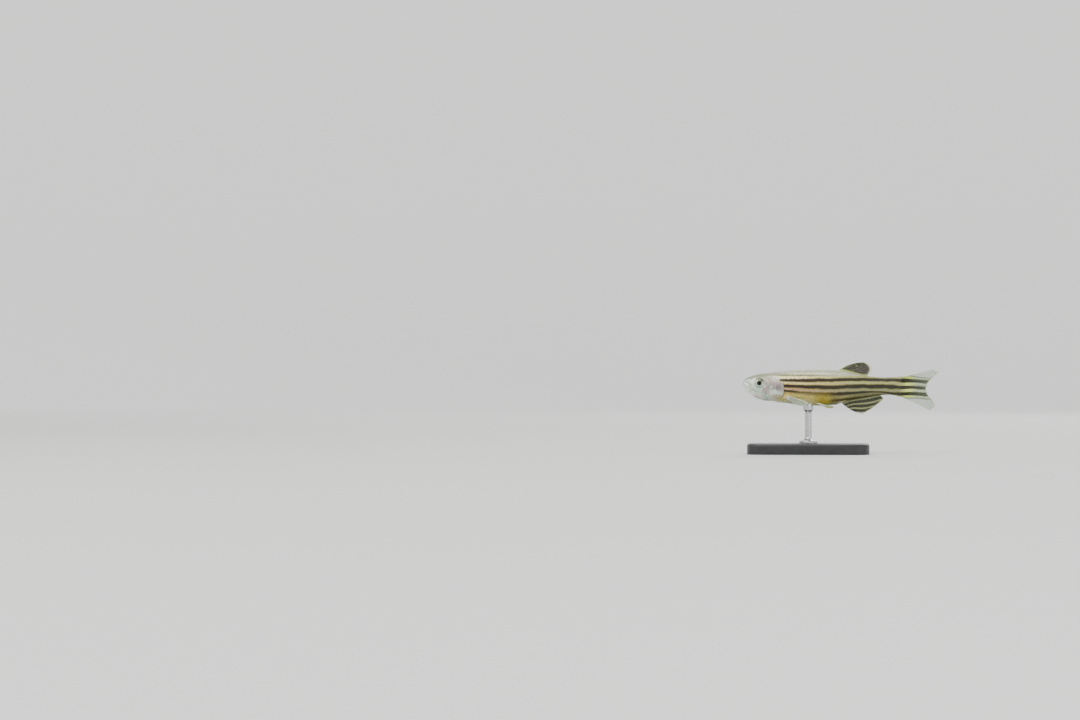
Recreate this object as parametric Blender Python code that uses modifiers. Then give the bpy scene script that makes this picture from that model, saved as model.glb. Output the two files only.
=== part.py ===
"""A zebra danio, life size, held level on a small display stand.

The fish heads along -Y with its left side facing +X, and +Z is up. The origin
is on the underside of the stand's base, below the rod. The fish's own pieces
hang on an empty at the tip of its snout, so their places are (x, d, z): x is the
offset to the left, d the distance behind the snout tip and z the height over
the fish's axis, a level line through the middle of its tail.
"""

import math
from typing import NamedTuple

import bmesh
import bpy
import numpy as np
from mathutils import Matrix

MM = 0.001
GAP = 0.3 * MM  # left between pieces that touch
QUARTER_TURN = math.pi / 2

BODY_LENGTH = 32.6 * MM  # snout tip to the root of the tail fin
AXIS_HEIGHT = 14.0 * MM  # of the fish's axis above the floor
ROD_PLACE = 13.4 * MM  # of the rod behind the snout tip, just ahead of the middle

# The body's outline: distance from the snout tip, height of the back, depth of
# the belly and half width, in millimetres.
BODY_OUTLINE = np.array(
    (
        (0.0, 0.85, 0.05, 0.34),
        (0.35, 1.32, -0.54, 0.78),
        (1.0, 1.76, -1.22, 1.14),
        (2.0, 2.16, -2.05, 1.46),
        (3.4, 2.53, -2.80, 1.73),
        (5.5, 2.83, -3.13, 2.02),
        (8.4, 3.14, -3.50, 2.28),
        (12.0, 3.45, -3.90, 2.38),
        (16.0, 3.52, -4.05, 2.25),
        (19.3, 3.46, -3.78, 1.95),
        (22.0, 2.92, -2.92, 1.56),
        (25.0, 2.27, -2.38, 1.18),
        (28.2, 1.91, -1.92, 0.86),
        (30.0, 1.86, -1.84, 0.70),
        (31.4, 1.94, -2.00, 0.54),
        (32.6, 2.08, -2.34, 0.34),
    )
)
WIDEST_HEIGHT = 0.25 * MM  # of the widest part of each section
BACK_FULLNESS, BELLY_FULLNESS = 2.25, 2.1  # 2 is an ellipse, more is squarer
BODY_RINGS, RING_POINTS = 40, 28
SNOUT_CROWDING = 1.5  # rings crowd towards the snout as this power

# The gill cover ends on an arc, which parts the head from the torso.
GILL_ARC_MIDDLE = (0, 3.6 * MM, -0.6 * MM)
GILL_ARC_RADIUS = 4.75 * MM
PEDUNCLE_START = 28.4 * MM  # behind the anal fin, where the tail begins

EYE_PLACE = (3.5 * MM, 0.62 * MM)  # distance and height
EYE_RADIUS, EYE_HALF_DEPTH = 1.07 * MM, 0.66 * MM
EYE_BULGE = 0.34 * MM  # of the eye past the side of the head

# Lines on the side of the head: start, end and the bow of the middle.
MOUTH_LINE = ((0.16 * MM, 0.436 * MM), (1.35 * MM, -0.30 * MM), (0, 0))
UPPER_BARBEL = ((0.5 * MM, 1.0 * MM), (1.95 * MM, 0.3 * MM), (0, 0.05 * MM))
LOWER_BARBEL = ((1.2 * MM, -0.45 * MM), (4.3 * MM, -1.7 * MM), (0, 0.12 * MM))
GILL_GROOVE = (
    (5.6 * MM, 1.35 * MM),
    (4.3 * MM, -2.35 * MM),
    (0.75 * MM, -0.25 * MM),
)
MOUTH_OPENING, LIP_TIP = 0.16 * MM, 0.07 * MM
LIP_RADIUS, LIP_OFFSET = 0.17 * MM, 0.22 * MM  # the offset is from the mouth's line
BARBEL_SINK, BARBEL_TIP = 0.34 * MM, 0.07 * MM
UPPER_BARBEL_SIZE = (0.25 * MM, 0.50 * MM)  # radius at the root, lift at the tip
LOWER_BARBEL_SIZE = (0.27 * MM, 0.75 * MM)
NOSTRIL_PLACE, NOSTRIL_RADIUS = (1.75 * MM, 1.42 * MM), 0.24 * MM
GROOVE_RADIUS = 0.12 * MM

FIN_RAY, FIN_WEB, FIN_EDGE = 0.66 * MM, 0.50 * MM, 0.30 * MM  # thicknesses
FIN_ROWS = 7  # of faces from root to margin
DORSAL_SINK, ANAL_SINK = 0.55, 0.60  # of the roots under the skin, in millimetres


class Fin(NamedTuple):
    """A fan of rays in millimetres, from places on a root to places on a margin.

    A bow moves the rays' middles. Each list is read evenly from the first ray
    to the last.
    """

    root: tuple
    margin: tuple
    bow: tuple
    rays: int


BASE_SIZE = (13.0 * MM, 25.0 * MM, 2.2 * MM)
BASE_CORNER, BASE_EDGE = 3.0 * MM, 0.45 * MM
ROD_RADIUS, ROD_FOOT_RADIUS, ROD_CUP_RADIUS = 0.7 * MM, 1.9 * MM, 1.05 * MM
ROD_FOOT_HEIGHT, ROD_CUP_HEIGHT = 0.55 * MM, 1.0 * MM


class Group(NamedTuple):
    """Where objects go: a collection, and the empty that carries them, if any."""

    collection: bpy.types.Collection
    carrier: object = None


def clear_scene():
    for old in list(bpy.data.objects):
        bpy.data.objects.remove(old, do_unlink=True)


def make_collection(name):
    made = bpy.data.collections.new(name)
    bpy.context.scene.collection.children.link(made)
    return made


def make_material(name, colour, roughness, metallic=0.0):
    material = bpy.data.materials.new(name)
    material.use_nodes = True
    shader = material.node_tree.nodes["Principled BSDF"]
    shader.inputs["Base Color"].default_value = (*colour, 1.0)
    shader.inputs["Roughness"].default_value = roughness
    shader.inputs["Metallic"].default_value = metallic
    return material


def put_in(obj, group):
    for old in list(obj.users_collection):
        old.objects.unlink(obj)
    group.collection.objects.link(obj)
    obj.parent = group.carrier
    return obj


def curve_through(knots, values, at):
    """Reads the smooth curve through some values at other places: cubic pieces that share their slopes."""
    knots, values, at = np.asarray(knots), np.asarray(values), np.asarray(at)
    slopes = np.gradient(values, knots, axis=0)
    piece = np.clip(np.searchsorted(knots, at, side="right") - 1, 0, len(knots) - 2)
    width = knots[piece + 1] - knots[piece]
    u = (at - knots[piece]) / width
    if values.ndim > 1:
        u, width = u[..., None], width[..., None]
    return (
        (2 * u**3 - 3 * u**2 + 1) * values[piece]
        + (u**3 - 2 * u**2 + u) * width * slopes[piece]
        + (3 * u**2 - 2 * u**3) * values[piece + 1]
        + (u**3 - u**2) * width * slopes[piece + 1]
    )


def body_outline(d):
    """Back height, belly depth and half width at a distance from the snout, in metres."""
    found = curve_through(BODY_OUTLINE[:, 0], BODY_OUTLINE[:, 1:], np.asarray(d) / MM)
    return np.moveaxis(found * MM, -1, 0)


def side_of_body(d, z):
    """How far the skin is from the middle plane, at a distance and a height."""
    back, belly, half_width = body_outline(d)
    above = z > WIDEST_HEIGHT
    reach = (back if above else belly) - WIDEST_HEIGHT
    fullness = BACK_FULLNESS if above else BELLY_FULLNESS
    share = min(abs((z - WIDEST_HEIGHT) / reach), 1.0)
    return float(half_width * (1 - share**fullness) ** (1 / fullness))


def add_mesh(name, mesh, group):
    return put_in(bpy.data.objects.new(name, mesh), group)


def add_body(name, group, grow=0.0):
    """The whole body without fins: rings of a squared ellipse from snout to tail, grown by a margin."""
    share = np.linspace(0, 1, BODY_RINGS)[:, None] ** SNOUT_CROWDING
    d = share * BODY_LENGTH
    turn = np.arange(RING_POINTS) * 4 * QUARTER_TURN / RING_POINTS
    back, belly, half_width = body_outline(d)
    rise, run = np.sin(turn), np.cos(turn)
    power = np.where(rise > 0, 2 / BACK_FULLNESS, 2 / BELLY_FULLNESS)
    reach = np.where(rise > 0, back - WIDEST_HEIGHT, WIDEST_HEIGHT - belly) + grow
    x = (half_width + grow) * np.sign(run) * np.abs(run) ** power
    z = WIDEST_HEIGHT + reach * np.sign(rise) * np.abs(rise) ** power
    y = d + grow * (2 * share - 1) + 0 * x
    points = np.stack((x, y, z), axis=-1).reshape(-1, 3)

    index = np.arange(BODY_RINGS * RING_POINTS).reshape(BODY_RINGS, RING_POINTS)
    ahead, behind = index[:-1], index[1:]
    around = [ahead, np.roll(ahead, -1, 1), np.roll(behind, -1, 1), behind]
    faces = np.stack(around, axis=-1).reshape(-1, 4).tolist()
    faces += [index[0, ::-1].tolist(), index[-1].tolist()]
    mesh = bpy.data.meshes.new(name)
    mesh.from_pydata(points.tolist(), [], faces)
    shaped = bmesh.new()
    shaped.from_mesh(mesh)
    bmesh.ops.recalc_face_normals(shaped, faces=shaped.faces)
    shaped.to_mesh(mesh)
    shaped.free()
    return add_mesh(name, mesh, group)


def add_ball(name, place, radii, group, segments=18, rings=12):
    """A ball pressed to three radii, with its poles at its two sides."""
    bpy.ops.mesh.primitive_uv_sphere_add(
        segments=segments, ring_count=rings, radius=1, location=place
    )
    ball = bpy.context.object
    ball.name = name
    ball.data.transform(Matrix.Rotation(QUARTER_TURN, 4, "Y"))
    ball.data.transform(Matrix.Diagonal((*radii, 1)))
    return put_in(ball, group)


def add_box(name, middle, size, group):
    bpy.ops.mesh.primitive_cube_add(size=1, location=middle)
    box = bpy.context.object
    box.name = name
    box.data.transform(Matrix.Diagonal((*size, 1)))
    return put_in(box, group)


def add_gill_cylinder(name, radius, group):
    """A cylinder across the fish whose rear is the arc of the gill cover."""
    bpy.ops.mesh.primitive_cylinder_add(
        vertices=72,
        radius=radius,
        depth=10 * MM,
        location=GILL_ARC_MIDDLE,
        rotation=(0, QUARTER_TURN, 0),
    )
    cylinder = bpy.context.object
    cylinder.name = name
    return put_in(cylinder, group)


def add_tube(name, points, radii, group):
    """A closed tube through some points, with its own radius at each."""
    curve = bpy.data.curves.new(name, "CURVE")
    curve.dimensions = "3D"
    curve.bevel_depth = 1.0
    curve.bevel_resolution = 2
    curve.use_fill_caps = True
    spline = curve.splines.new("POLY")
    spline.points.add(len(points) - 1)
    for knot, place, radius in zip(spline.points, points, radii):
        knot.co = (*place, 1)
        knot.radius = radius
    return as_mesh(put_in(bpy.data.objects.new(name, curve), group))


def as_mesh(obj):
    """Turns an object with its curve or modifiers into one with a welded mesh of its own."""
    bpy.context.view_layer.update()
    graph = bpy.context.evaluated_depsgraph_get()
    mesh = bpy.data.meshes.new_from_object(obj.evaluated_get(graph))
    shaped = bmesh.new()
    shaped.from_mesh(mesh)
    bmesh.ops.remove_doubles(shaped, verts=shaped.verts, dist=0.001 * MM)
    shaped.to_mesh(mesh)
    shaped.free()
    name, place = obj.name, obj.matrix_basis.copy()
    group = Group(obj.users_collection[0], obj.parent)
    bpy.data.objects.remove(obj)
    made = add_mesh(name, mesh, group)
    made.matrix_basis = place
    return made


def cut(obj, cutter, operation="DIFFERENCE"):
    change = obj.modifiers.new(operation.title() + " " + cutter.name, "BOOLEAN")
    change.operation = operation
    change.object = cutter
    change.solver = "EXACT"


def join(obj, pieces):
    """Joins pieces to an object with one union, and then removes the pieces."""
    held = Group(make_collection("pieces_of_" + obj.name), obj.parent)
    for piece in pieces:
        put_in(piece, held)
    change = obj.modifiers.new("Union", "BOOLEAN")
    change.operation = "UNION"
    change.operand_type = "COLLECTION"
    change.collection = held.collection
    change.solver = "EXACT"
    joined = as_mesh(obj)
    for piece in list(held.collection.objects):
        bpy.data.objects.remove(piece)
    bpy.data.collections.remove(held.collection)
    return joined


def keep_largest(obj):
    """Keeps the closed surface whose box is largest, and drops any scrap that a cut left."""
    obj = as_mesh(obj)
    shaped = bmesh.new()
    shaped.from_mesh(obj.data)
    unseen, islands = set(shaped.verts), []
    while unseen:
        island, edge = set(), [unseen.pop()]
        while edge:
            vertex = edge.pop()
            island.add(vertex)
            near = {e.other_vert(vertex) for e in vertex.link_edges} & unseen
            unseen -= near
            edge += near
        islands.append(island)

    def box_size(island):
        return np.prod(np.ptp([vertex.co for vertex in island], axis=0))

    largest = max(islands, key=box_size)
    loose = [vertex for vertex in shaped.verts if vertex not in largest]
    bmesh.ops.delete(shaped, geom=loose, context="VERTS")
    shaped.to_mesh(obj.data)
    shaped.free()
    return obj


def finish(obj, material, group, crease_degrees=35):
    """Gives a node its material and smooth shading, and moves it in with the other nodes."""
    obj.data.materials.clear()
    obj.data.materials.append(material)
    obj.data.shade_smooth()
    obj.data.set_sharp_from_angle(angle=math.radians(crease_degrees))
    return put_in(obj, group)


def bent_line(start, end, bow, steps=6):
    """Places on a line from start to end, with its middle moved by the bow."""
    u = np.linspace(0, 1, steps)[:, None]
    start, end, bow = np.array(start), np.array(end), np.array(bow)
    return start + (end - start) * u + bow * 4 * u * (1 - u)


def path_on_body(places, side, lifts=(0.0, 0.0)):
    """Places given as distance and height, set over one side's skin by a lift from start to end."""
    lifts = np.linspace(*lifts, len(places))
    return [
        (side * (side_of_body(d, z) + lift), d, z)
        for (d, z), lift in zip(places, lifts)
    ]


def mouth_path(offset, sink):
    """The mouth's line round the snout, from the left corner to the right, set off it in height and depth."""
    places = bent_line(*MOUTH_LINE) + (0, offset)
    left = path_on_body(places, 1, (-sink, -sink))
    right = path_on_body(places, -1, (-sink, -sink))
    return left[::-1] + [(0, LIP_TIP, places[0][1])] + right


def add_barbel(line, size, side, group):
    """A feeler that grows from the skin and trails back, thinning to its tip."""
    radius, lift = size
    path = path_on_body(bent_line(*line), side, (-BARBEL_SINK, lift))
    return add_tube("barbel", path, np.linspace(radius, BARBEL_TIP, len(path)), group)


def add_eye(name, side, group, grow=0.0):
    """An eye as a pressed ball whose outer face bulges past the side of the head."""
    d, z = EYE_PLACE
    x = side_of_body(d, z) + EYE_BULGE - EYE_HALF_DEPTH
    radii = [radius + grow for radius in (EYE_HALF_DEPTH, EYE_RADIUS, EYE_RADIUS)]
    return add_ball(name, (side * x, d, z), radii, group)


def copy_of(body, name, group):
    piece = body.copy()
    piece.data = body.data.copy()
    piece.name = name
    return put_in(piece, group)


def make_head(body, helpers, nodes, material):
    """The head: the body ahead of the gill arc, with lips, mouth, barbels, nostrils and gill grooves."""
    head = copy_of(body, "head", helpers)
    cut(head, add_gill_cylinder("gill_arc", GILL_ARC_RADIUS, helpers), "INTERSECT")
    head = as_mesh(head)

    pieces = []
    for offset in (LIP_OFFSET, -LIP_OFFSET):
        path = mouth_path(offset, LIP_RADIUS / 3)
        pieces.append(add_tube("lip", path, [LIP_RADIUS] * len(path), helpers))
    for side in (1, -1):
        pieces.append(add_barbel(UPPER_BARBEL, UPPER_BARBEL_SIZE, side, helpers))
        pieces.append(add_barbel(LOWER_BARBEL, LOWER_BARBEL_SIZE, side, helpers))
    head = join(head, pieces)

    (front, high), (rear, low), _ = MOUTH_LINE
    fall = math.atan2(high - low, rear - front)
    reach = 2 * (rear - front)
    middle = (0, rear - math.cos(fall) * reach / 2, low + math.sin(fall) * reach / 2)
    slit = add_box("mouth_slit", middle, (6 * MM, reach, MOUTH_OPENING), helpers)
    slit.rotation_euler = (-fall, 0, 0)
    cut(head, slit)
    for side in (1, -1):
        place = path_on_body([NOSTRIL_PLACE], side)[0]
        cut(head, add_ball("nostril", place, [NOSTRIL_RADIUS] * 3, helpers, 12, 8))
        cut(head, add_eye("eye_socket", side, helpers, GAP))
        groove = path_on_body(bent_line(*GILL_GROOVE, steps=10), side)
        radii = [GROOVE_RADIUS] * len(groove)
        cut(head, add_tube("gill_groove", groove, radii, helpers))
    return finish(keep_largest(head), material, nodes)


def make_trunk(body, helpers, nodes, torso_material, tail_material):
    """The torso behind the gill arc and the tail's peduncle, parted by a thin cut across the body."""
    big = 60 * MM
    apart = (big + GAP) / 2
    behind = add_box(
        "behind_the_torso", (0, PEDUNCLE_START + apart - GAP, 0), [big] * 3, helpers
    )
    before = add_box(
        "before_the_tail", (0, PEDUNCLE_START - apart + GAP, 0), [big] * 3, helpers
    )
    gill = add_gill_cylinder("gill_arc_cleared", GILL_ARC_RADIUS + GAP, helpers)
    for name, cutters, material in (
        ("torso", (gill, behind), torso_material),
        ("tail_peduncle", (before,), tail_material),
    ):
        piece = copy_of(body, name, helpers)
        for cutter in cutters:
            cut(piece, cutter)
        finish(keep_largest(piece), material, nodes)


def add_fin_web(name, fin, side, group):
    """An open sheet with a column on each ray and one between each two, thickened by a modifier."""
    columns = 2 * fin.rays
    across = np.linspace(0, 1, columns + 1)
    root, margin, bow = (
        MM * curve_through(np.linspace(0, 1, len(places)), places, across)
        for places in (fin.root, fin.margin, fin.bow)
    )
    mesh = bpy.data.meshes.new(name)
    shaped = bmesh.new()
    bmesh.ops.create_grid(shaped, x_segments=columns, y_segments=FIN_ROWS, size=0.5)
    shares = {}
    for vertex in shaped.verts:
        column = round((vertex.co.x + 0.5) * columns)
        along = vertex.co.y + 0.5
        straight = root[column] * (1 - along) + margin[column] * along
        x, d, z = straight + bow[column] * 4 * along * (1 - along)
        vertex.co = (side * x, d, z)
        thickness = FIN_RAY if column % 2 else FIN_WEB
        thickness += (FIN_EDGE - thickness) * along**2
        shares[vertex.index] = thickness / FIN_RAY
    bmesh.ops.triangulate(shaped, faces=shaped.faces)
    shaped.to_mesh(mesh)
    shaped.free()
    web = add_mesh(name, mesh, group)
    thickness_group = web.vertex_groups.new(name="thickness")
    for index, share in shares.items():
        thickness_group.add([index], share, "REPLACE")
    thicken = web.modifiers.new("Thickness", "SOLIDIFY")
    thicken.thickness = FIN_RAY
    thicken.offset = 0
    thicken.vertex_group = thickness_group.name
    return web


def make_fin(name, fin, cleared_body, helpers, nodes, material, side=1):
    """A fin with its rays raised on both faces, cut to meet the body it grows from."""
    web = add_fin_web(name, fin, side, helpers)
    cut(web, cleared_body)
    finish(keep_largest(web), material, nodes, crease_degrees=60)


def along_outline(column, distances, sink):
    """Places on the back's or the belly's outline, sunk towards the axis, in millimetres."""
    heights = body_outline(np.array(distances) * MM)[column] / MM
    return [(0, d, z - sink * np.sign(z)) for d, z in zip(distances, heights)]


def dorsal_fin():
    return Fin(
        root=along_outline(0, (18.9, 20.9, 22.9, 24.8), DORSAL_SINK),
        margin=(
            (0, 24.8, 4.97),
            (0, 25.9, 4.60),
            (0, 26.5, 3.85),
            (0, 26.4, 3.05),
            (0, 26.0, 2.55),
        ),
        bow=((0, -0.1, 0.62), (0, 0, 0.2), (0, 0, 0)),
        rays=9,
    )


def anal_fin():
    return Fin(
        root=along_outline(1, (19.9, 22.6, 25.3, 28.0), ANAL_SINK),
        margin=(
            (0, 24.5, -5.72),
            (0, 25.6, -5.15),
            (0, 26.7, -4.45),
            (0, 27.8, -3.60),
            (0, 28.9, -2.60),
        ),
        bow=((0, -0.1, -0.45), (0, 0, -0.2), (0, 0, -0.1)),
        rays=13,
    )


def caudal_fin():
    return Fin(
        root=((0, 32.2, 1.85), (0, 32.35, 0.9), (0, 32.35, -1.0), (0, 32.2, -2.1)),
        margin=(
            (0, 38.90, 3.50),
            (0, 39.95, 2.85),
            (0, 38.95, 1.75),
            (0, 38.05, 0.75),
            (0, 37.65, -0.50),
            (0, 37.95, -1.70),
            (0, 38.75, -2.80),
            (0, 39.45, -4.05),
            (0, 38.30, -5.00),
        ),
        bow=((0, 0, -0.12), (0, 0, 0), (0, 0, 0.16)),
        rays=18,
    )


def pectoral_fin():
    """The left one, folded back along the flank."""
    return Fin(
        root=((1.55, 8.75, -1.85), (1.5, 8.95, -2.25), (1.3, 9.1, -2.65)),
        margin=(
            (3.10, 13.6, -3.40),
            (3.00, 13.2, -3.90),
            (2.75, 12.2, -4.05),
            (2.35, 10.9, -3.80),
        ),
        bow=((0.25, 0, 0.12), (0.22, 0, 0), (0.15, 0, -0.05)),
        rays=9,
    )


def pelvic_fin():
    """The left one, folded back under the belly."""
    return Fin(
        root=((1.0, 14.8, -3.35), (0.75, 15.3, -3.4), (0.5, 15.8, -3.45)),
        margin=(
            (2.00, 18.2, -4.10),
            (1.50, 18.8, -4.30),
            (1.00, 18.5, -4.50),
            (0.65, 17.4, -4.55),
        ),
        bow=((0.15, 0, -0.1), (0.05, 0, -0.12), (0, 0, -0.1)),
        rays=6,
    )


def make_base(group, material):
    """The stand's base: a plate with round corners and a softened rim."""
    height = BASE_SIZE[2]
    base = add_box("stand_base", (0, 0, height / 2), BASE_SIZE, group)
    weight = base.data.attributes.new("bevel_weight_edge", "FLOAT", "EDGE")
    for edge in base.data.edges:
        low, high = (base.data.vertices[index].co.z for index in edge.vertices)
        weight.data[edge.index].value = float(abs(high - low) > height / 2)
    corners = base.modifiers.new("Corners", "BEVEL")
    corners.limit_method = "WEIGHT"
    corners.width = BASE_CORNER
    corners.segments = 8
    rim = base.modifiers.new("Rim", "BEVEL")
    rim.limit_method = "ANGLE"
    rim.angle_limit = math.radians(60)
    rim.width = BASE_EDGE
    rim.segments = 3
    finish(as_mesh(base), material, group)


def make_rod(cleared_body, group, material):
    """The stand's rod: turned, with a foot on the base and a cup cut to the belly it carries."""
    foot = BASE_SIZE[2] + GAP
    cup = AXIS_HEIGHT + float(body_outline(ROD_PLACE)[1]) - ROD_CUP_HEIGHT
    outline = (
        (0, AXIS_HEIGHT),
        (ROD_CUP_RADIUS, AXIS_HEIGHT),
        (ROD_CUP_RADIUS, cup),
        (ROD_RADIUS, cup - (ROD_CUP_RADIUS - ROD_RADIUS)),
        (ROD_RADIUS, foot + 1.6 * ROD_FOOT_HEIGHT),
        (1.25 * ROD_RADIUS, foot + 1.15 * ROD_FOOT_HEIGHT),
        (ROD_FOOT_RADIUS, foot + ROD_FOOT_HEIGHT),
        (ROD_FOOT_RADIUS, foot),
        (0, foot),
    )
    profile = bpy.data.meshes.new("stand_rod")
    steps = [(step, step + 1) for step in range(len(outline) - 1)]
    profile.from_pydata([(radius, 0, z) for radius, z in outline], steps, [])
    rod = add_mesh("stand_rod", profile, group)
    turned = rod.modifiers.new("Turned", "SCREW")
    turned.steps = turned.render_steps = 32
    turned.use_merge_vertices = True
    turned.merge_threshold = 0.01 * MM
    turned.use_normal_calculate = True
    cut(rod, cleared_body)
    finish(keep_largest(rod), material, group)


def main():
    clear_scene()
    model = make_collection("zebra_danio")
    guides = make_collection("cutters_and_guides")
    snout_tip = bpy.data.objects.new("snout_tip", None)
    snout_tip.location = (0, -ROD_PLACE, AXIS_HEIGHT)
    model.objects.link(snout_tip)
    nodes, helpers = Group(model, snout_tip), Group(guides, snout_tip)

    head_skin = make_material("head_skin", (0.66, 0.68, 0.58), 0.32, 0.25)
    flank_skin = make_material("flank_skin", (0.52, 0.49, 0.32), 0.30, 0.30)
    tail_skin = make_material("tail_skin", (0.50, 0.47, 0.33), 0.30, 0.30)
    clear_web = make_material("clear_web", (0.66, 0.71, 0.66), 0.35)
    banded_web = make_material("banded_web", (0.62, 0.62, 0.36), 0.35)
    eye_finish = make_material("eye_finish", (0.03, 0.035, 0.03), 0.08)
    stand_black = make_material("stand_black", (0.03, 0.03, 0.033), 0.35)
    stand_steel = make_material("stand_steel", (0.62, 0.63, 0.64), 0.28, 1.0)

    body = add_body("whole_body", helpers)
    cleared_body = add_body("whole_body_cleared", helpers, grow=GAP)
    make_head(body, helpers, nodes, head_skin)
    make_trunk(body, helpers, nodes, flank_skin, tail_skin)
    fin_tools = (cleared_body, helpers, nodes)
    make_fin("dorsal_fin", dorsal_fin(), *fin_tools, banded_web)
    make_fin("anal_fin", anal_fin(), *fin_tools, banded_web)
    make_fin("caudal_fin", caudal_fin(), *fin_tools, clear_web)
    for side, label in ((1, "left"), (-1, "right")):
        finish(add_eye("eye_" + label, side, nodes), eye_finish, nodes)
        make_fin("pectoral_fin_" + label, pectoral_fin(), *fin_tools, clear_web, side)
        make_fin("pelvic_fin_" + label, pelvic_fin(), *fin_tools, banded_web, side)
    make_base(Group(model), stand_black)
    make_rod(cleared_body, Group(model), stand_steel)

    for helper in guides.objects:
        helper.hide_render = True
        helper.display_type = "WIRE"


main()
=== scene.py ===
"""A zebra danio, life size, on a small display stand: the finish of every surface.

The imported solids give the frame. Shapes are worked out in millimetres as (x, d, z):
x is the offset to the fish's left, d the distance behind the snout tip and z the
height over the fish's axis, a level line through the middle of its tail.
"""

import math

import bpy
import numpy as np
from bpy.props import FloatProperty, FloatVectorProperty, IntProperty, PointerProperty
from bpy.types import Operator, Panel, PropertyGroup
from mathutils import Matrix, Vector


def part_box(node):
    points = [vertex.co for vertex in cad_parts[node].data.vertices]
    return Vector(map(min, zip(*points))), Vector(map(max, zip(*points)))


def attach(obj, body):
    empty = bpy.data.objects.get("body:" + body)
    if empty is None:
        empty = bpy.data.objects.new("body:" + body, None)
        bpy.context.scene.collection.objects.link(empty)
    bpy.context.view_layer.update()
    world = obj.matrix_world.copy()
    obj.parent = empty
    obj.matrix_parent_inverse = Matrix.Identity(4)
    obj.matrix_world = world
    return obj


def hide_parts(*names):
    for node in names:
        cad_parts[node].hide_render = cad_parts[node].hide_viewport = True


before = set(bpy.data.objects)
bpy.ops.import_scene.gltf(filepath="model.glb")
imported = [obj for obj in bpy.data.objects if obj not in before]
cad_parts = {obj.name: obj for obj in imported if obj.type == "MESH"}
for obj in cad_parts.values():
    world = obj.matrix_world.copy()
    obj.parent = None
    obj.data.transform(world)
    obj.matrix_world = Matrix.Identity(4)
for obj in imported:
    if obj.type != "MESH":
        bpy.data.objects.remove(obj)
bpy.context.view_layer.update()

bl_info = {
    "name": "Zebra danio on a stand",
    "version": (1, 0, 0),
    "blender": (4, 5, 0),
    "location": "View3D > Sidebar > Danio",
    "description": "Dresses the solids of a small striped fish with skin, scales, eyes and fins",
    "category": "Mesh",
}

MM = 0.001
ROD_PLACE = -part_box("head")[0].y / MM  # of the rod behind the snout tip
BODY_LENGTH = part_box("tail_peduncle")[1].y / MM + ROD_PLACE
AXIS_HEIGHT = 14.0  # of the fish's axis above the floor

# The body's outline: distance from the snout tip, height of the back, depth of
# the belly and half width.
BODY_OUTLINE = np.array(
    (
        (0.0, 0.85, 0.05, 0.34),
        (0.35, 1.32, -0.54, 0.78),
        (1.0, 1.76, -1.22, 1.14),
        (2.0, 2.16, -2.05, 1.46),
        (3.4, 2.53, -2.80, 1.73),
        (5.5, 2.83, -3.13, 2.02),
        (8.4, 3.14, -3.50, 2.28),
        (12.0, 3.45, -3.90, 2.38),
        (16.0, 3.52, -4.05, 2.25),
        (19.3, 3.46, -3.78, 1.95),
        (22.0, 2.92, -2.92, 1.56),
        (25.0, 2.27, -2.38, 1.18),
        (28.2, 1.91, -1.92, 0.86),
        (30.0, 1.86, -1.84, 0.70),
        (31.4, 1.94, -2.00, 0.54),
        (32.6, 2.08, -2.34, 0.34),
    )
)
WIDEST_HEIGHT = 0.25  # of the widest part of each section
BACK_FULLNESS, BELLY_FULLNESS = 2.25, 2.1  # 2 is an ellipse, more is squarer
SNOUT_MIDDLE, SNOUT_ROUNDING = 0.45, 0.5  # height, and length that is rounded off
TAIL_THINNING = 0.9  # length over which the flesh thins to the tail fin
RINGS, RING_POINTS = 400, 216
SNOUT_CROWDING = 1.4  # rings crowd towards the snout as this power

# Where the rear edge of the gill cover and the first scales lie, by the turn round
# the body in degrees: 0 is the belly's midline, 90 the side and 180 the back's midline.
GILL_EDGE = ((0, 20, 32, 45, 60, 90, 100, 180), (4.7, 5.9, 7.0, 8.0, 8.35, 8.38, 8.3, 8.0))
GILL_TOP = (98, 108)  # turns between which the edge of the cover fades out
FIRST_SCALES = (
    (0, 30, 45, 90, 99, 106, 120, 150, 180),
    (6.4, 7.6, 8.5, 8.75, 8.6, 7.6, 6.9, 6.3, 6.1),
)

# Lines on the side of the head: start, end and the bow of the middle, as (d, z).
MOUTH_LINE = ((0.16, 0.436), (1.35, -0.30), (0, 0))
JAW_FOLD = ((1.45, -0.42), (3.5, -2.55), (-0.22, -0.12))
LIP_FOLD = ((0.85, 0.75), (1.75, -0.35), (0.16, 0.10))
CHEEK_GROOVE = ((5.6, 1.35), (4.3, -2.35), (0.75, -0.25))
CHEEK_SEAM = ((5.75, -0.9), (8.0, -1.55), (0, -0.08))
BROW_GROOVE = ((2.3, 1.75), (5.6, 1.85), (0, 0.28))
NOSTRILS = ((1.60, 1.50, 0.085), (1.90, 1.42, 0.11))  # distance, height and radius
EYE_PLACE, EYE_RADIUS = (3.5, 0.62), 1.07
EYE_HALF_DEPTH, EYE_BULGE = 0.66, 0.34
VENT_PLACE = 19.2

UPPER_BARBEL = ((0.5, 1.0), (1.95, 0.3), (0, 0.05))
LOWER_BARBEL = ((1.2, -0.45), (4.3, -1.7), (0, 0.12))
UPPER_BARBEL_SIZE = (0.095, 0.50)  # radius near the root, lift at the tip
LOWER_BARBEL_SIZE = (0.115, 0.75)
BARBEL_TIP, BARBEL_SINK = 0.03, 0.32

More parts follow.
